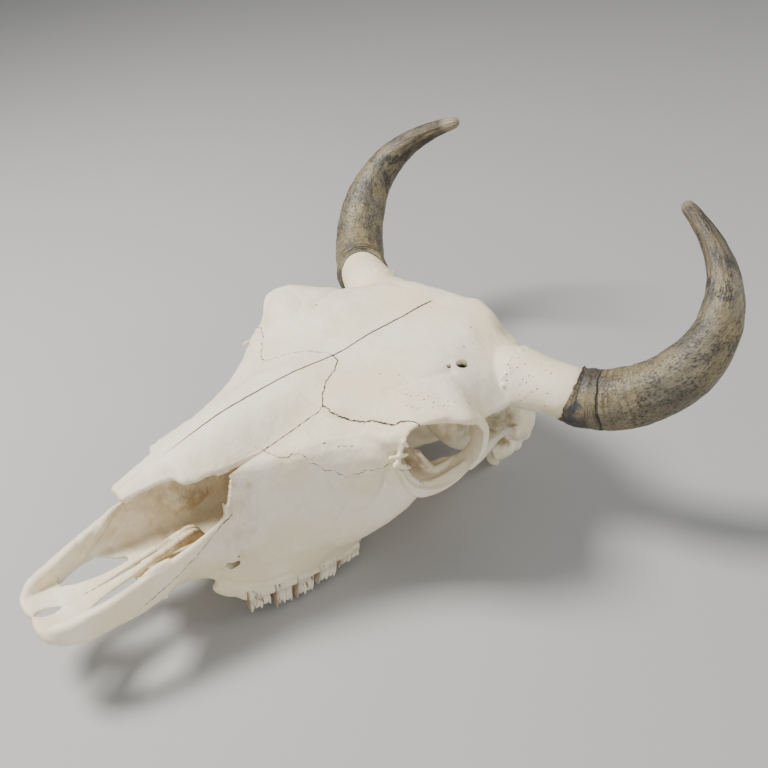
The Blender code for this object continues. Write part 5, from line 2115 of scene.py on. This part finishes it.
@dataclass
class Studio:
    """A pale floor, soft lights and the camera of the photograph."""

    eye: Vector = field(default_factory=lambda: Vector((620.84, -138.31, 551.77)))
    right: Triple = (0.59481, 0.80274, 0.04268)
    up: Triple = (-0.41331, 0.25985, 0.87273)
    back: Triple = (0.68948, -0.53675, 0.48634)
    lens: float = 46.83
    floor_reach: float = 6.0

    def camera(self) -> None:
        """The fitted camera, carried along as the skull is tipped to rest."""
        data = bpy.data.cameras.new("camera")
        data.lens = self.lens
        data.sensor_width = 36
        data.clip_start = 0.01
        eye = bpy.data.objects.new("camera", data)
        bpy.context.scene.collection.objects.link(eye)
        turn = Matrix((self.right, self.up, self.back)).transposed().to_4x4()
        eye.matrix_world = at_rest() @ Matrix.Translation(self.eye * MM) @ turn
        bpy.context.scene.camera = eye

    def floor(self) -> None:
        """A wide floor slab under the skull."""
        work = bmesh.new()
        size = Matrix.Diagonal((2 * self.floor_reach, 2 * self.floor_reach, 0.02, 1))
        bmesh.ops.create_cube(work, size=1, matrix=Matrix.Translation((0, 0, -0.01)) @ size)
        slab = poured("floor", work)
        slab.data.materials.append(FloorFinish().make())

    def light(self, name: str, place: Triple, size: float, watts: float, warmth: Triple) -> None:
        """A square soft light that looks at the skull.

        Args:
            name: the lamp's name.
            place: where it stands, in metres.
            size: the side of its square.
            watts: its power.
            warmth: its colour.
        """
        data = bpy.data.lights.new(name, "AREA")
        data.size = size
        data.energy = watts
        data.color = warmth
        lamp = bpy.data.objects.new(name, data)
        lamp.location = place
        towards = Vector((0, 0, 0.1)) - Vector(place)
        lamp.rotation_euler = towards.to_track_quat("-Z", "Y").to_euler()
        bpy.context.scene.collection.objects.link(lamp)

    def build(self) -> None:
        """Set up everything around the skull."""
        self.floor()
        self.light("key", (-0.75, -0.6, 1.6), 0.55, 60, (1.0, 0.975, 0.93))
        self.light("fill", (1.5, -1.0, 0.8), 1.0, 15, (1.0, 0.99, 0.97))
        self.light("rim", (0.9, 1.5, 1.0), 0.8, 14, (1.0, 1.0, 1.0))
        world = bpy.data.worlds.new("room")
        world.use_nodes = True
        world.node_tree.nodes["Background"].inputs["Color"].default_value = (0.95, 0.96, 1.0, 1)
        world.node_tree.nodes["Background"].inputs["Strength"].default_value = 0.28
        bpy.context.scene.world = world
        self.camera()


def main() -> None:
    """Build the skull, dress it and set the stage."""
    logging.basicConfig(level=logging.INFO, format="%(name)s: %(message)s")
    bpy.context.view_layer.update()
    bone, horn_look, enamel = BoneFinish().make(), SheathFinish().make(), ToothFinish().make()
    skull = Skull()
    for node, item in skull.bones().items():
        side = Side.RIGHT if node.endswith("right") else Side.LEFT
        skull.stain(item, side)
        dress(item, node + "_bone", bone, [node])
    for side in Side:
        teeth = Teeth(skull.face).build()
        sheath = skull.horn.sheath(side)
        cut(sheath, skull.horn.core(skull.horn.socket_clearance))
        for item, name, finish, look, node in (
                (teeth, "cheek_teeth_", enamel, Look.BONE, "maxilla_"),
                (sheath, "horn_", horn_look, Look.HORN, "horn_sheath_")):
            if side is Side.RIGHT:
                flip(item)
            dress(item, name + side.word, finish, [node + side.word])
    Studio().build()


if __name__ == "__main__":
    main()
